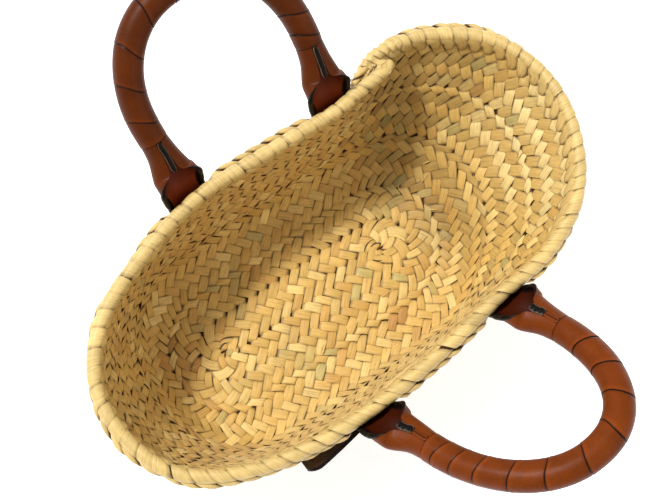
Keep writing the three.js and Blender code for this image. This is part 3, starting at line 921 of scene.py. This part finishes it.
def rim_tongues():
    """Strips that come over the roll's inner side and end in the first row of the wall."""
    starts, pitch = wrap_starts(roll_line, ROLL_LENGTH, ROLL_WRAP["pitch"])
    kept = (starts > 6) & (starts < PERIMETER - 4)
    starts, pitch = starts[kept][:, None], pitch[kept, 0]
    shares = np.linspace(0, 1, 9)
    middle, _, outward, radius = roll_line(starts + 0.3 * pitch * shares)
    way = swung(np.radians(np.interp(shares, (0, 0.55), (112, 188))), outward, UP)
    lift = np.interp(shares, (0, 0.28, 0.5, 1), (-1.6, -0.5, 0.5, 0.5))[:, None]
    over = middle + way * (radius[..., None] + lift)
    fraction = roll_start - (starts + (0.25 + 0.45 * shares) * pitch) / PERIMETER
    drop = np.interp(shares, (0.5, 1), (3.0, 12.5)) + random.uniform(-1, 1.5, (len(starts), 1))
    inward = np.interp(shares, (0.5, 0.85, 1), (-4.6, -3.0, -0.9))
    below = on_shell(fraction, level_at(fraction, drop), inward)
    paths = mix(over, below, smooth_step(shares, 0.3, 0.62)[:, None])
    normals = mix(way, UP - outward, 0.5)
    width = pitch * np.interp(shares, (0, 0.5, 0.8, 1), (0.86, 0.86, 0.68, 0.18))
    tints = mix(strip_tints(len(starts)), strand_tints(middle[:, 4]), 0.7)
    # Painted shade at the tip, where a tongue goes into the wall, and along both edges, one more than the
    # other
    edges = np.array([1.0, 0.2, 0, 0.1, 0.75])
    painted_shade = np.maximum(np.interp(shares, (0, 0.85, 1), (0, 0.05, 0.9))[:, None], 0.75 * edges**2)
    return laid_strips("rim_tongues", paths, width, normals, strip, tints, painted_shade)


def strip_tints(count):
    tone = STRIP_TONE * (1 + 0.05 * random.standard_normal((count, 1)))
    warm = mix(tone, STRAW_TONES["tan"], random.uniform(0, 0.35, (count, 1)) ** 2)
    return opaque(np.clip(warm, 0, 1))


def ring_faces(steps, sides):
    """Quads of a closed tube whose end rings are closed by fans of thin quads."""
    index = np.arange(steps * sides).reshape(steps, sides)
    beside = np.roll(index, -1, axis=1)
    quads = np.stack([index[:-1], index[1:], beside[1:], beside[:-1]], axis=-1).reshape(-1, 4)
    half = np.arange(sides // 2 - 1)
    fan = np.stack([half, half + 1, sides - 2 - half, sides - 1 - half], axis=-1)
    return np.concatenate([quads, index[0][fan], index[-1][fan][:, ::-1]])


def ring_tubes(name, rings, material, tint):
    """Closed tubes made from rings of points, (tubes, steps, sides, 3), with an even number of sides."""
    count, steps, sides = rings.shape[:3]
    faces = ring_faces(steps, sides)
    along = rings[0, 1].mean(axis=0) - rings[0, 0].mean(axis=0)
    turn = np.cross(rings[0, 0, 1] - rings[0, 0, 0], rings[0, 0, sides // 2] - rings[0, 0, 0])
    if np.dot(turn, along) > 0:
        faces = faces[:, ::-1]
    every = (faces[None] + np.arange(count)[:, None, None] * steps * sides).reshape(-1, 4)
    tints = np.broadcast_to(tint, (count, steps, sides, 4)).reshape(-1, 4)
    strand = layered(rings.shape[:3], np.arange(steps)[:, None] * 1.0, 0.0, 0.0).reshape(-1, 3)
    return build_mesh(name, rings.reshape(-1, 3), every, material, tints, strand, 60)


def plain_cord(name, line, length, radius_share, steps, sides):
    """The dark inside of a wrapped cord: painted shade seen between its wraps."""
    middle, _, outward, radius = line(np.linspace(0.1, length - 0.1, steps))
    direction = swung(circle(sides), outward[:, None], UP)
    rings = middle[:, None] + direction * (radius * radius_share)[:, None, None]
    return ring_tubes(name, rings[None], painted_shade_material, opaque(SHADE_TONE))


def path_tube(name, paths, radii, sides, material, tint):
    """Thin round cords along paths of points, (cords, points, 3), with a radius at each point."""
    paths = np.asarray(paths)
    along = unit(np.gradient(paths, axis=1))
    guide = np.where(np.abs(along[:, :1, 2:]) > 0.8, [1.0, 0.0, 0.0], UP)
    side = unit(np.cross(along, guide))
    other = np.cross(side, along)
    around = swung(circle(sides), side[:, :, None], other[:, :, None])
    return ring_tubes(name, paths[:, :, None] + around * np.asarray(radii)[..., None, None], material, tint)


def laid_strips(name, paths, width, normals, material, tints, painted_shade=0.0):
    """Flat strips along paths, (strips, points, 3), that lie square to the normals."""
    paths = np.asarray(paths)
    along = unit(np.gradient(paths, axis=1))
    normals = unit(np.broadcast_to(normals, paths.shape))
    side = unit(np.cross(along, normals))
    across = np.array([-1, -0.5, 0, 0.5, 1])
    reach = 0.5 * np.asarray(width)[..., None] * across
    top = paths[:, :, None] + side[:, :, None] * reach[..., None]
    top = top - normals[:, :, None] * (0.25 * across**2)[:, None]
    bottom = top - normals[:, :, None] * STRIP_THICKNESS
    steps = np.arange(paths.shape[1])[None, :, None] * 2.0
    strand = strand_places(top.shape[:3], steps, reach)
    # Painted shade along the edges of each strip, and wherever more is asked for
    amount = np.broadcast_to(np.maximum(0.3 * np.abs(across) ** 6, painted_shade), top.shape[:3])
    return plates(name, top, bottom, material, shaded(tints, amount), strand)


def step_strips():
    """Strips that close the space between the two rolls at the step."""
    bridges = []
    for travelled in np.arange(2.0, ROLL_START_RUN - 4, STEP_STRIP_PITCH):
        outer, along, outward, outer_radius = roll_line(travelled)
        inner, _, _, inner_radius = roll_line(min(PERIMETER + travelled, ROLL_LENGTH - 1))
        if PERIMETER + travelled > ROLL_LENGTH - 3:
            inner = on_shell(roll_start - travelled / PERIMETER, 0.955, -1.6)
            inner_radius = 1.2
        low = inner + outward * inner_radius * 0.3 + UP * inner_radius * 0.45
        high = outer - outward * outer_radius * 0.75 + UP * outer_radius * 0.75
        over = outer + UP * (outer_radius + 0.35)
        beyond = outer + outward * outer_radius * 0.8 + UP * outer_radius * 0.65
        lean = along * 2.4
        halfway = mix(low, high, 0.5) - UP * 0.5 + lean * 0.5
        bridges.append(spline_rows([low + lean, halfway, high, over - lean * 0.4, beyond - lean], 4))
    return laid_strips("step_strips", bridges, STEP_STRIP_WIDTH, UP, strip, strip_tints(len(bridges)))


def step_end_folds():
    """The folded end of the inner roll at the step."""
    tail, _, outward, radius = roll_line(np.linspace(ROLL_LENGTH - 9, ROLL_LENGTH - 0.5, 5))
    folds = []
    for across, turn, rise in ((-0.5, 0.9, 0.5), (0.5, 0.2, 0.85), (0.1, -0.8, 0.7)):
        fold = tail + outward * (radius * across)[:, None] + UP * (radius * rise + 0.5)[:, None]
        fold = fold + outward * turn * np.linspace(0, 3.5, 5)[:, None]
        folds.append(spline_rows(fold - UP * np.linspace(0, 1.6, 5)[:, None] ** 2, 3))
    width = np.linspace(4.6, 2.6, len(folds[0])) * np.ones((len(folds), 1))
    return laid_strips("step_end_folds", folds, width, UP, strip, strip_tints(len(folds)))


# Handles

def tab_place(handle, end):
    """Where a leather end is on the mouth, how far it stands off the wall and which way it leads."""
    x = handle["middle"] + end * HANDLE_SPAN / 2
    fraction = fraction_at(x, handle["side"])
    skew = handle["skew"] + end * handle["splay"]
    away = np.array([math.sin(skew), handle["side"] * math.cos(skew), 0])
    over_patch = abs(x - PATCH_MIDDLE) < (PATCH_LENGTH + TAB_FLAT_WIDTH) / 2 and handle["side"] < 0
    stand_off = WALL / 2 + CLEARANCE + (PATCH_THICKNESS + CLEARANCE if over_patch else 0)
    middle, along, outward = rim_frame(fraction)
    return {"fraction": fraction, "away": away, "stand_off": stand_off,
            "middle": middle, "along": along, "outward": outward}


tab_places = {(side, end): tab_place(handle, sign)
              for side, handle in HANDLES.items() for end, sign in (("left", -1), ("right", 1))}
Section = namedtuple("Section", "middle across back curl radius squash")


def lean_way(place):
    return place["away"] * math.cos(HANDLE_LEAN) + UP * math.sin(HANDLE_LEAN)


def tab_path(place, reach, rise):
    away = unit(mix(place["outward"], place["away"], min(1, TAB_TURN * reach)))
    return (place["middle"] + place["outward"] * (ROLL_RADIUS + CLEARANCE + LEATHER / 2)
            + away * reach * TAB_REACH + UP * rise * TAB_REACH)


def tab_section(place, index):
    """One section of a leather end in the air, with its ways across and back."""
    rows = list(zip(TAB_IN_AIR["reach"], TAB_IN_AIR["rise"]))
    middle = tab_path(place, *rows[index])
    if index > 0:
        before = tab_path(place, *rows[index - 1])
    else:
        drop = TAB_ON_WALL[-1][0] * TAB_DROP
        before = on_shell(place["fraction"], level_at(place["fraction"], drop), place["stand_off"])
    after = tab_path(place, *rows[index + 1]) if index + 1 < len(rows) else middle + lean_way(place)
    run = unit(after - before)
    across = unit(place["along"] - run * np.dot(place["along"], run))
    back = np.cross(across, run)
    rolled = (TAB_ROLL_DIAMETER - LEATHER) / 2 * TAB_ROLL_CURL
    width = mix(mix(TAB_FLAT_WIDTH, TAB_THROAT_WIDTH, TAB_IN_AIR["throat"][index]), rolled,
                TAB_IN_AIR["roll"][index])
    curl = TAB_IN_AIR["curl"][index] * TAB_ROLL_CURL
    return Section(middle, across, back, curl, width / curl, TAB_IN_AIR["squash"][index])


def tab_point(section, angle, out):
    """Point of a section at an angle round it and a distance out of the leather's middle."""
    breadth = (section.radius * (1 + section.squash) + out) * np.sin(angle)
    depth = section.radius * (1 - section.squash) * (1 - np.cos(angle)) - out * np.cos(angle)
    return section.middle + section.across * breadth[..., None] - section.back * depth[..., None]


def tab_end(place):
    last = tab_section(place, TAB_SECTIONS - 1)
    return last.middle - last.back * last.radius


def handle_line(left, right, splay):
    """Middle line of a handle and the way square to its plane."""
    start = tab_end(left) + lean_way(left) * CLEARANCE
    end = tab_end(right) + lean_way(right) * CLEARANCE
    middle = (start + end) / 2
    half = (end - start) / 2
    leaning = unit(lean_way(left) + lean_way(right))
    side = unit(np.cross(half, leaning))
    widening = HANDLE_REACH * math.tan(splay) / np.linalg.norm(half)
    angle = np.pi * (1 - np.linspace(0, 1, 400))
    power = 2 / HANDLE_SQUARENESS
    out = np.abs(np.sin(angle)) ** power
    across = np.sign(np.cos(angle)) * np.abs(np.cos(angle)) ** power * (1 + widening * out)
    line = middle + half * across[:, None] + leaning * (HANDLE_REACH * out)[:, None]
    return line, side


def spline_rows(rows, per_row):
    """Open Catmull-Rom curve through a stack of rows of points."""
    rows = np.asarray(rows)
    ends = np.concatenate([2 * rows[:1] - rows[1:2], rows, 2 * rows[-1:] - rows[-2:-1]])
    result = []
    share = (np.arange(per_row) / per_row).reshape(-1, *([1] * (rows.ndim - 1)))
    for i in range(len(rows) - 1):
        p0, p1, p2, p3 = ends[i:i + 4]
        result.append(p1 + 0.5 * share * (p2 - p0 + share * (2 * p0 - 5 * p1 + 4 * p2 - p3
                                                            + share * (3 * (p1 - p2) + p3 - p0))))
    result.append(rows[-1:])
    return np.concatenate(result)


def handle_tints(since, until, at_end, tone_and_shadow):
    """Leather that is dark at each seam, but not at the handle's ends, and paler just after it."""
    seam = np.clip(np.exp(-((np.minimum(since, until) / 0.45) ** 2)) * 1.2, 0, 1)
    seam = np.where(at_end, 0, seam)
    # Lighter just after each seam and darker just before the next
    seam_lightness = tone_and_shadow * (1 + 0.25 * np.exp(-((since - 1.6) / 1.2) ** 2) - 0.2 * np.exp(-until / 2.5))
    return opaque(mix(LEATHER_TONE * seam_lightness[:, None], LEATHER_EDGE, seam[:, None]))


def handle_tube(name, place_left, place_right, splay, seams, tilt, tone_and_shadow):
    """Leather strips wound round a cord, with thin dark seams between them."""
    line, side = handle_line(place_left, place_right, splay)
    run = lengths_along(line)
    length = run[-1]
    seams = np.array(seams) * length
    places = [np.linspace(0, length, 150)]
    for offset in (-1.1, -0.5, -0.25, 0, 0.2, 0.5, 0.9, 1.6):
        places.append(seams + offset)
    places = np.unique(np.clip(np.concatenate(places), 0, length))
    middle = points_at(line, run, places)
    along = unit(np.gradient(middle, axis=0))
    angle = circle(HANDLE_SIDES)
    after = (places[:, None] - seams[None] > 0).sum(axis=1)
    since = places - np.concatenate([[0], seams])[after]
    until = np.concatenate([seams, [length]])[after] - places
    radius = mix(HANDLE_END_DIAMETER, HANDLE_DIAMETER, np.sin(np.pi * places / length)) / 2
    lip = 0.32 * np.exp(-since / 1.2) - 0.3 * np.exp(-((until / 0.5) ** 2))
    lip = lip - 0.25 * np.exp(-((since / 0.35) ** 2))
    wobble = 0.12 * np.sin(places / 9.0)[:, None] * np.cos(2 * angle)[None]
    direction = swung(angle, np.cross(side, along)[:, None], side)
    inside = smooth_step(places, 0.5, 9) * smooth_step(length - places, 0.5, 9)
    slant = tilt * np.cos(angle) + 0.7 * np.sin(2 * angle)
    slant = slant[None, :, None] * (along * inside[:, None])[:, None]
    top = middle[:, None] + direction * ((radius + lip)[:, None] + wobble)[..., None] + slant
    bottom = middle[:, None] + direction * (radius - HANDLE_LEATHER)[:, None, None] + slant
    at_end = (after == 0) & (since < 2) | (after == len(seams)) & (until < 2)
    tint = handle_tints(since, until, at_end, tone_and_shadow)
    return plates(name, top[None], bottom[None], tan, tint[None, :, None], wrapped=True, sharp=70)


def tab_grid(place):
    """Fine grids of the inner and the outer face of a leather end, from the wall to the handle."""
    wide = np.linspace(-0.5, 0.5, TAB_COLUMNS)
    inner, outer = [], []
    for drop, width in TAB_ON_WALL:
        fraction = place["fraction"] + wide * width * TAB_FLAT_WIDTH / PERIMETER
        level = level_at(fraction, drop * TAB_DROP)
        inner.append(on_shell(fraction, level, place["stand_off"]))
        outer.append(on_shell(fraction, level, place["stand_off"] + LEATHER))
    for index in range(TAB_SECTIONS):
        section = tab_section(place, index)
        inner.append(tab_point(section, wide * section.curl, -LEATHER / 2))
        outer.append(tab_point(section, wide * section.curl, LEATHER / 2))
    return spline_rows(inner, TAB_STEPS), spline_rows(outer, TAB_STEPS)


def tab_tints(rows, columns, outside, tone_and_shadow, inside_light_and_shade):
    """Colours of one face of a leather end, with black edges that are widest at the sides of the throat."""
    face = LEATHER_TONE * tone_and_shadow if outside else LEATHER_INSIDE * inside_light_and_shade
    across = np.abs(np.linspace(-1, 1, columns))[None, :, None]
    row = np.arange(rows)[:, None, None]
    band = np.interp(row / SPLIT_ROW, (0, 0.5, 0.72, 0.9, 1), (0.92, 0.82, 0.74, 0.82, 0.95))
    band = mix(band, 1, 0.45) if outside else band
    edge = smooth_step(across, band, band + 0.05) * (1 - smooth_step(row, SPLIT_ROW - 5, SPLIT_ROW + 1))
    # Painted shade on the inner face, deep in the throat towards the split
    throat_shade = 1 - 0.3 * smooth_step(row, SPLIT_ROW - 18, SPLIT_ROW - 2) if not outside else 1.0
    return opaque(mix(face * throat_shade, LEATHER_EDGE, edge))


def leather_end(name, place, tone_and_shadow, inside_light_and_shade):
    """The flap on the wall that opens round a throat and rolls up round the handle."""
    inner, outer = tab_grid(place)
    tint, under = (tab_tints(*inner.shape[:2], outside, tone_and_shadow, inside_light_and_shade) for outside in (True, False))
    return plates(name, outer[None], inner[None], tan, tint, sharp=60, under=under)


def painted_edges(name, place):
    """The thick black edges of a leather end, from the wall to the split."""
    inner, outer = tab_grid(place)
    last = SPLIT_ROW + 2
    paths = (inner[:last, (0, -1)] + outer[:last, (0, -1)]).swapaxes(0, 1) / 2
    share = np.linspace(0, 1, last)
    thick = np.interp(share, (0, 0.4, 0.62, 0.8, 0.92, 1), (0.55, 0.62, 0.95, 0.88, 0.45, 0.34))
    radius = LEATHER * thick * np.sqrt(np.clip((1 - share) / 0.04, 0.05, 1))
    wavy = 1 + 0.07 * np.sin(np.linspace(0, 40, last))
    return path_tube(name, paths, radius * wavy, 10, dark, opaque(LEATHER_EDGE))


def split_strap(name, place, strap):
    """A strap in the split of a leather end: a black creased keeper, or the tan edges drawn together."""
    sections = [tab_section(place, index) for index in range(TAB_IN_AIR["throat"].index(1), TAB_SECTIONS)]
    path = spline_rows([tab_point(section, np.pi, -LEATHER / 2) for section in sections], 14)
    path = path[round(strap["from"] * len(path)):round(strap["to"] * len(path))]
    last = sections[-1]
    crumple = strap["crumple"]
    side = np.linspace(-1, 1, 9)
    share = np.linspace(0, 1, len(path))
    split = 2 * (last.radius - LEATHER / 2) * math.sin(math.pi - last.curl / 2)
    ends = np.minimum(1, np.sqrt(np.clip(np.minimum(share, 1 - share) / 0.1, 0.2, 1)))
    half = 0.5 * (split + 0.6) * strap["width"] * ends
    phases = random.uniform(0, 6, 4)
    folds = np.sin(share * 21 + phases[0])[:, None] * np.cos(side * 2.2 + phases[1])[None]
    folds = folds + 0.6 * np.sin(share * 43 + phases[2])[:, None] * np.cos(side * 4 + phases[3])[None]
    rise = LEATHER + strap["proud"] - 0.45 * side[None] ** 2 + crumple * folds
    wander = crumple * 0.8 * np.sin(share * 9 + phases[1])
    top = (path[:, None] + last.across * (side[None] * half[:, None] + wander[:, None])[..., None]
           - last.back * rise[..., None])
    bottom = path[:, None] + last.across * (side[None] * (half * 0.8)[:, None])[..., None] - last.back * 0.3
    if strap["black"]:
        material = dark
        # Painted highlight along both sides of the black keeper
        tint = mix(LEATHER_EDGE, KEEPER_HIGHLIGHT, 0.6 * smooth_step(np.abs(side), 0.8, 1.0)[None, :, None])
    else:
        material = tan
        tint = mix(LEATHER_TONE * strap["tone_and_shadow"], LEATHER_EDGE, np.exp(-((side / 0.22) ** 2))[None, :, None])
    return plates(name, top[None], bottom[None], material, opaque(tint), sharp=60)


def end_collar(name, place):
    """The dark core between a leather end and its handle, with a thin collar in the joint."""
    path = tab_end(place) + lean_way(place) * np.array(COLLAR_PLACES)[:, None]
    return path_tube(name, path[None], COLLAR_RADII, 32, dark, opaque(LEATHER_EDGE))


def patch_grid(out):
    """Points of the panel on the front wall at a distance through its thickness."""
    start = fraction_at(PATCH_MIDDLE, -1)
    share = (1 - np.cos(np.pi * np.linspace(0, 1, 61))) / 2
    along = (share - 0.5) * PATCH_LENGTH
    from_end = np.maximum(0, PATCH_CORNER - (PATCH_LENGTH / 2 - np.abs(along)))
    cut = PATCH_CORNER - np.sqrt(PATCH_CORNER**2 - from_end**2)
    curled = np.maximum(0, 1 - share * PATCH_LENGTH / PATCH_LIFTED_LENGTH) ** 1.05
    curled = curled - 0.25 * np.maximum(0, 1 - share * PATCH_LENGTH / 9) ** 2
    down = np.linspace(0, 1, 25)[:, None]
    drop = PATCH_DROP + mix(cut, PATCH_HEIGHT - cut, down)
    gap = WALL / 2 + CLEARANCE + curled * mix(PATCH_LIFT, PATCH_FOOT_LIFT, down)
    fraction = (start + along / PERIMETER) * np.ones_like(down)
    return on_shell(fraction, level_at(fraction, drop), gap + out)


def leather_patch():
    """The bare dark panel, with a black edge."""
    inner, outer = patch_grid(0), patch_grid(PATCH_THICKNESS)
    rows, columns = outer.shape[:2]
    down = np.abs(np.linspace(-1, 1, rows))[:, None, None]
    along = np.abs(np.linspace(-1, 1, columns))[None, :, None]
    edge = np.maximum(smooth_step(down, 0.82, 0.92), smooth_step(along, 0.86, 0.93))
    tint, under = (opaque(mix(tone, LEATHER_EDGE, edge)) for tone in (DARK_TONE, DARK_INSIDE))
    return plates("front_patch_leather", outer[None], inner[None], dark, tint, sharp=60, under=under)


def stitch_row(name, line, out):
    """Stitches along a line of points; out is the way off the surface at each point."""
    run = lengths_along(line)
    starts = np.arange(STITCH_PITCH / 2, run[-1] - STITCH_PITCH / 2, STITCH_PITCH)
    places = starts[:, None] + np.linspace(-0.36, 0.36, 5) * STITCH_PITCH
    arch = np.array([-0.3, 0.28, 0.42, 0.28, -0.3])[:, None]
    points = points_at(line, run, places) + unit(points_at(out, run, places)) * arch
    return path_tube(name, points, STITCH_RADIUS, 6, dark, THREAD_TINT)


def tab_stitches(name, place):
    """The seam round the part of a leather end that lies on the wall."""
    inner, outer = tab_grid(place)
    first = TAB_SEAM_INSET
    rows = slice(first, len(TAB_ON_WALL) * TAB_STEPS - 3)

    def seam(sheet):
        foot = sheet[first, first + 1:-first - 1]
        return np.concatenate([sheet[rows, first][::-1], foot, sheet[rows, -first - 1]])

    return stitch_row(name, seam(outer), seam(outer - inner))


def patch_stitches():
    """The seam round the panel."""
    inner, outer = patch_grid(0), patch_grid(PATCH_THICKNESS)
    top, left = PATCH_SEAM_INSETS
    foot, right = outer.shape[0] - top - 1, outer.shape[1] - left
    ring = [(top, k) for k in range(left, right)] + [(k, right) for k in range(top + 1, foot)]
    ring += [(foot, k) for k in range(right, left - 1, -1)] + [(k, left) for k in range(foot - 1, top, -1)]
    down, along = np.array(ring).T
    return stitch_row("front_patch_stitches", outer[down, along], (outer - inner)[down, along])


# Assembly

def dress(node, slot, *pieces):
    """Each piece takes the place of a node of the solids, which is hidden. The slot is not used."""
    for piece in pieces:
        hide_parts(node)


dress("basket_body", "straw", braid_core(),
      braid_face("braid_inside_base", BASE_GROUPS, -1, INSIDE),
      braid_face("braid_inside_wall", WALL_GROUPS, -1, INSIDE),
      braid_face("braid_outside_base", BASE_GROUPS, 1, OUTSIDE),
      braid_face("braid_outside_wall", WALL_GROUPS, 1, OUTSIDE),
      eye_row("braid_inside_eyes", -1, INSIDE),
      eye_row("braid_outside_eyes", 1, OUTSIDE),
      *eye_curls(), stray_fibres())
dress("rim_binding", "palm_strip",
      plain_cord("rim_core", roll_line, ROLL_LENGTH, 0.78, 400, 16),
      wrapped_cord("rim_wraps", roll_line, ROLL_LENGTH, ROLL_WRAP),
      plain_cord("outer_row_core", outer_row_line, PERIMETER, 0.7, 400, 10),
      wrapped_cord("outer_row_wraps", outer_row_line, PERIMETER, OUTER_WRAP),
      rim_tongues(), step_strips(), step_end_folds())
for side, handle in HANDLES.items():
    leather = handle_tube(f"{side}_handle_leather", tab_places[side, "left"], tab_places[side, "right"],
                          handle["splay"], SEAMS[side], SEAM_TILT[side], TONE_AND_SHADOW[side])
    dress(f"{side}_handle", "tan_leather", leather)
    for end in ("left", "right"):
        name = f"{side}_{end}"
        place = tab_places[side, end]
        dress(f"{name}_tab", "tan_leather",
              leather_end(f"{name}_leather_end", place, TONE_AND_SHADOW[side], INSIDE_LIGHT_AND_SHADE[side]))
        dress(f"{name}_tab", "dark_leather", painted_edges(f"{name}_black_edges", place))
        dress(f"{name}_keeper", "dark_leather", split_strap(f"{name}_keeper_strap", place, KEEPERS[side]))
        if side == "front":
            dress(f"{name}_tab", "tan_leather", split_strap(f"{name}_drawn_edges", place, FRONT_SPLIT))
        dress(f"{name}_tab", "dark_leather", end_collar(f"{name}_collar", place),
              tab_stitches(f"{name}_stitches", place))
dress("front_patch", "dark_leather", leather_patch(), patch_stitches())

# Stage, lights and camera

IMAGE_SIZE = (670, 500)
FOCAL_PIXELS = 1400.0
CAMERA_PLACE = (-134.8, -87.1, 989.2)
CAMERA_TILT = (math.radians(-10), math.radians(-6))
CAMERA_ROLL = math.radians(-34.563)

# Suns: strength, spread in degrees, colour and the way they shine from
SUNS = {
    "key": (3.65, 9, (1.0, 0.985, 0.95), (-0.28, 0.46, 0.84)),
    "fill": (0.6, 50, (1.0, 0.96, 0.88), (0.5, -0.62, 0.6)),
}
WORLD_COLOUR = (1.0, 0.96, 0.88, 1)
WORLD_STRENGTH = 0.55
FLOOR_HALF = 4.0
FLOOR_LEVEL = -0.0008


def place_camera():
    back = Vector((math.tan(CAMERA_TILT[0]), math.tan(CAMERA_TILT[1]), 1)).normalized()
    level_right = Vector((0, 1, 0)).cross(back).normalized()
    level_up = back.cross(level_right)
    right = level_right * math.cos(CAMERA_ROLL) + level_up * math.sin(CAMERA_ROLL)
    data = bpy.data.cameras.new("camera")
    data.sensor_width = 36
    data.lens = data.sensor_width * FOCAL_PIXELS / IMAGE_SIZE[0]
    data.clip_end = 20
    camera = placed("camera", data)
    turn = Matrix((right, back.cross(right), back)).transposed().to_4x4()
    camera.matrix_world = Matrix.Translation(Vector(CAMERA_PLACE) * MM) @ turn
    bpy.context.scene.camera = camera


def place_floor():
    mesh = bpy.data.meshes.new("floor")
    corners = [(x * FLOOR_HALF, y * FLOOR_HALF, FLOOR_LEVEL) for x, y in ((-1, -1), (1, -1), (1, 1), (-1, 1))]
    mesh.from_pydata(corners, [], [(0, 1, 2, 3)])
    mesh.materials.append(plain_material("floor_white", (0.9, 0.92, 0.97), 0.9, 0.55))
    placed("floor", mesh)


def place_lights():
    for name, (strength, spread, colour, way) in SUNS.items():
        light = bpy.data.lights.new(name, "SUN")
        light.energy = strength
        light.angle = math.radians(spread)
        light.color = colour
        placed(name, light).rotation_euler = Vector(way).to_track_quat("Z", "Y").to_euler()
    world = bpy.data.worlds.new("world")
    world.use_nodes = True
    background = world.node_tree.nodes["Background"]
    background.inputs[0].default_value = WORLD_COLOUR
    background.inputs[1].default_value = WORLD_STRENGTH
    bpy.context.scene.world = world
    bpy.context.scene.view_settings.view_transform = "Standard"


place_camera()
place_floor()
place_lights()
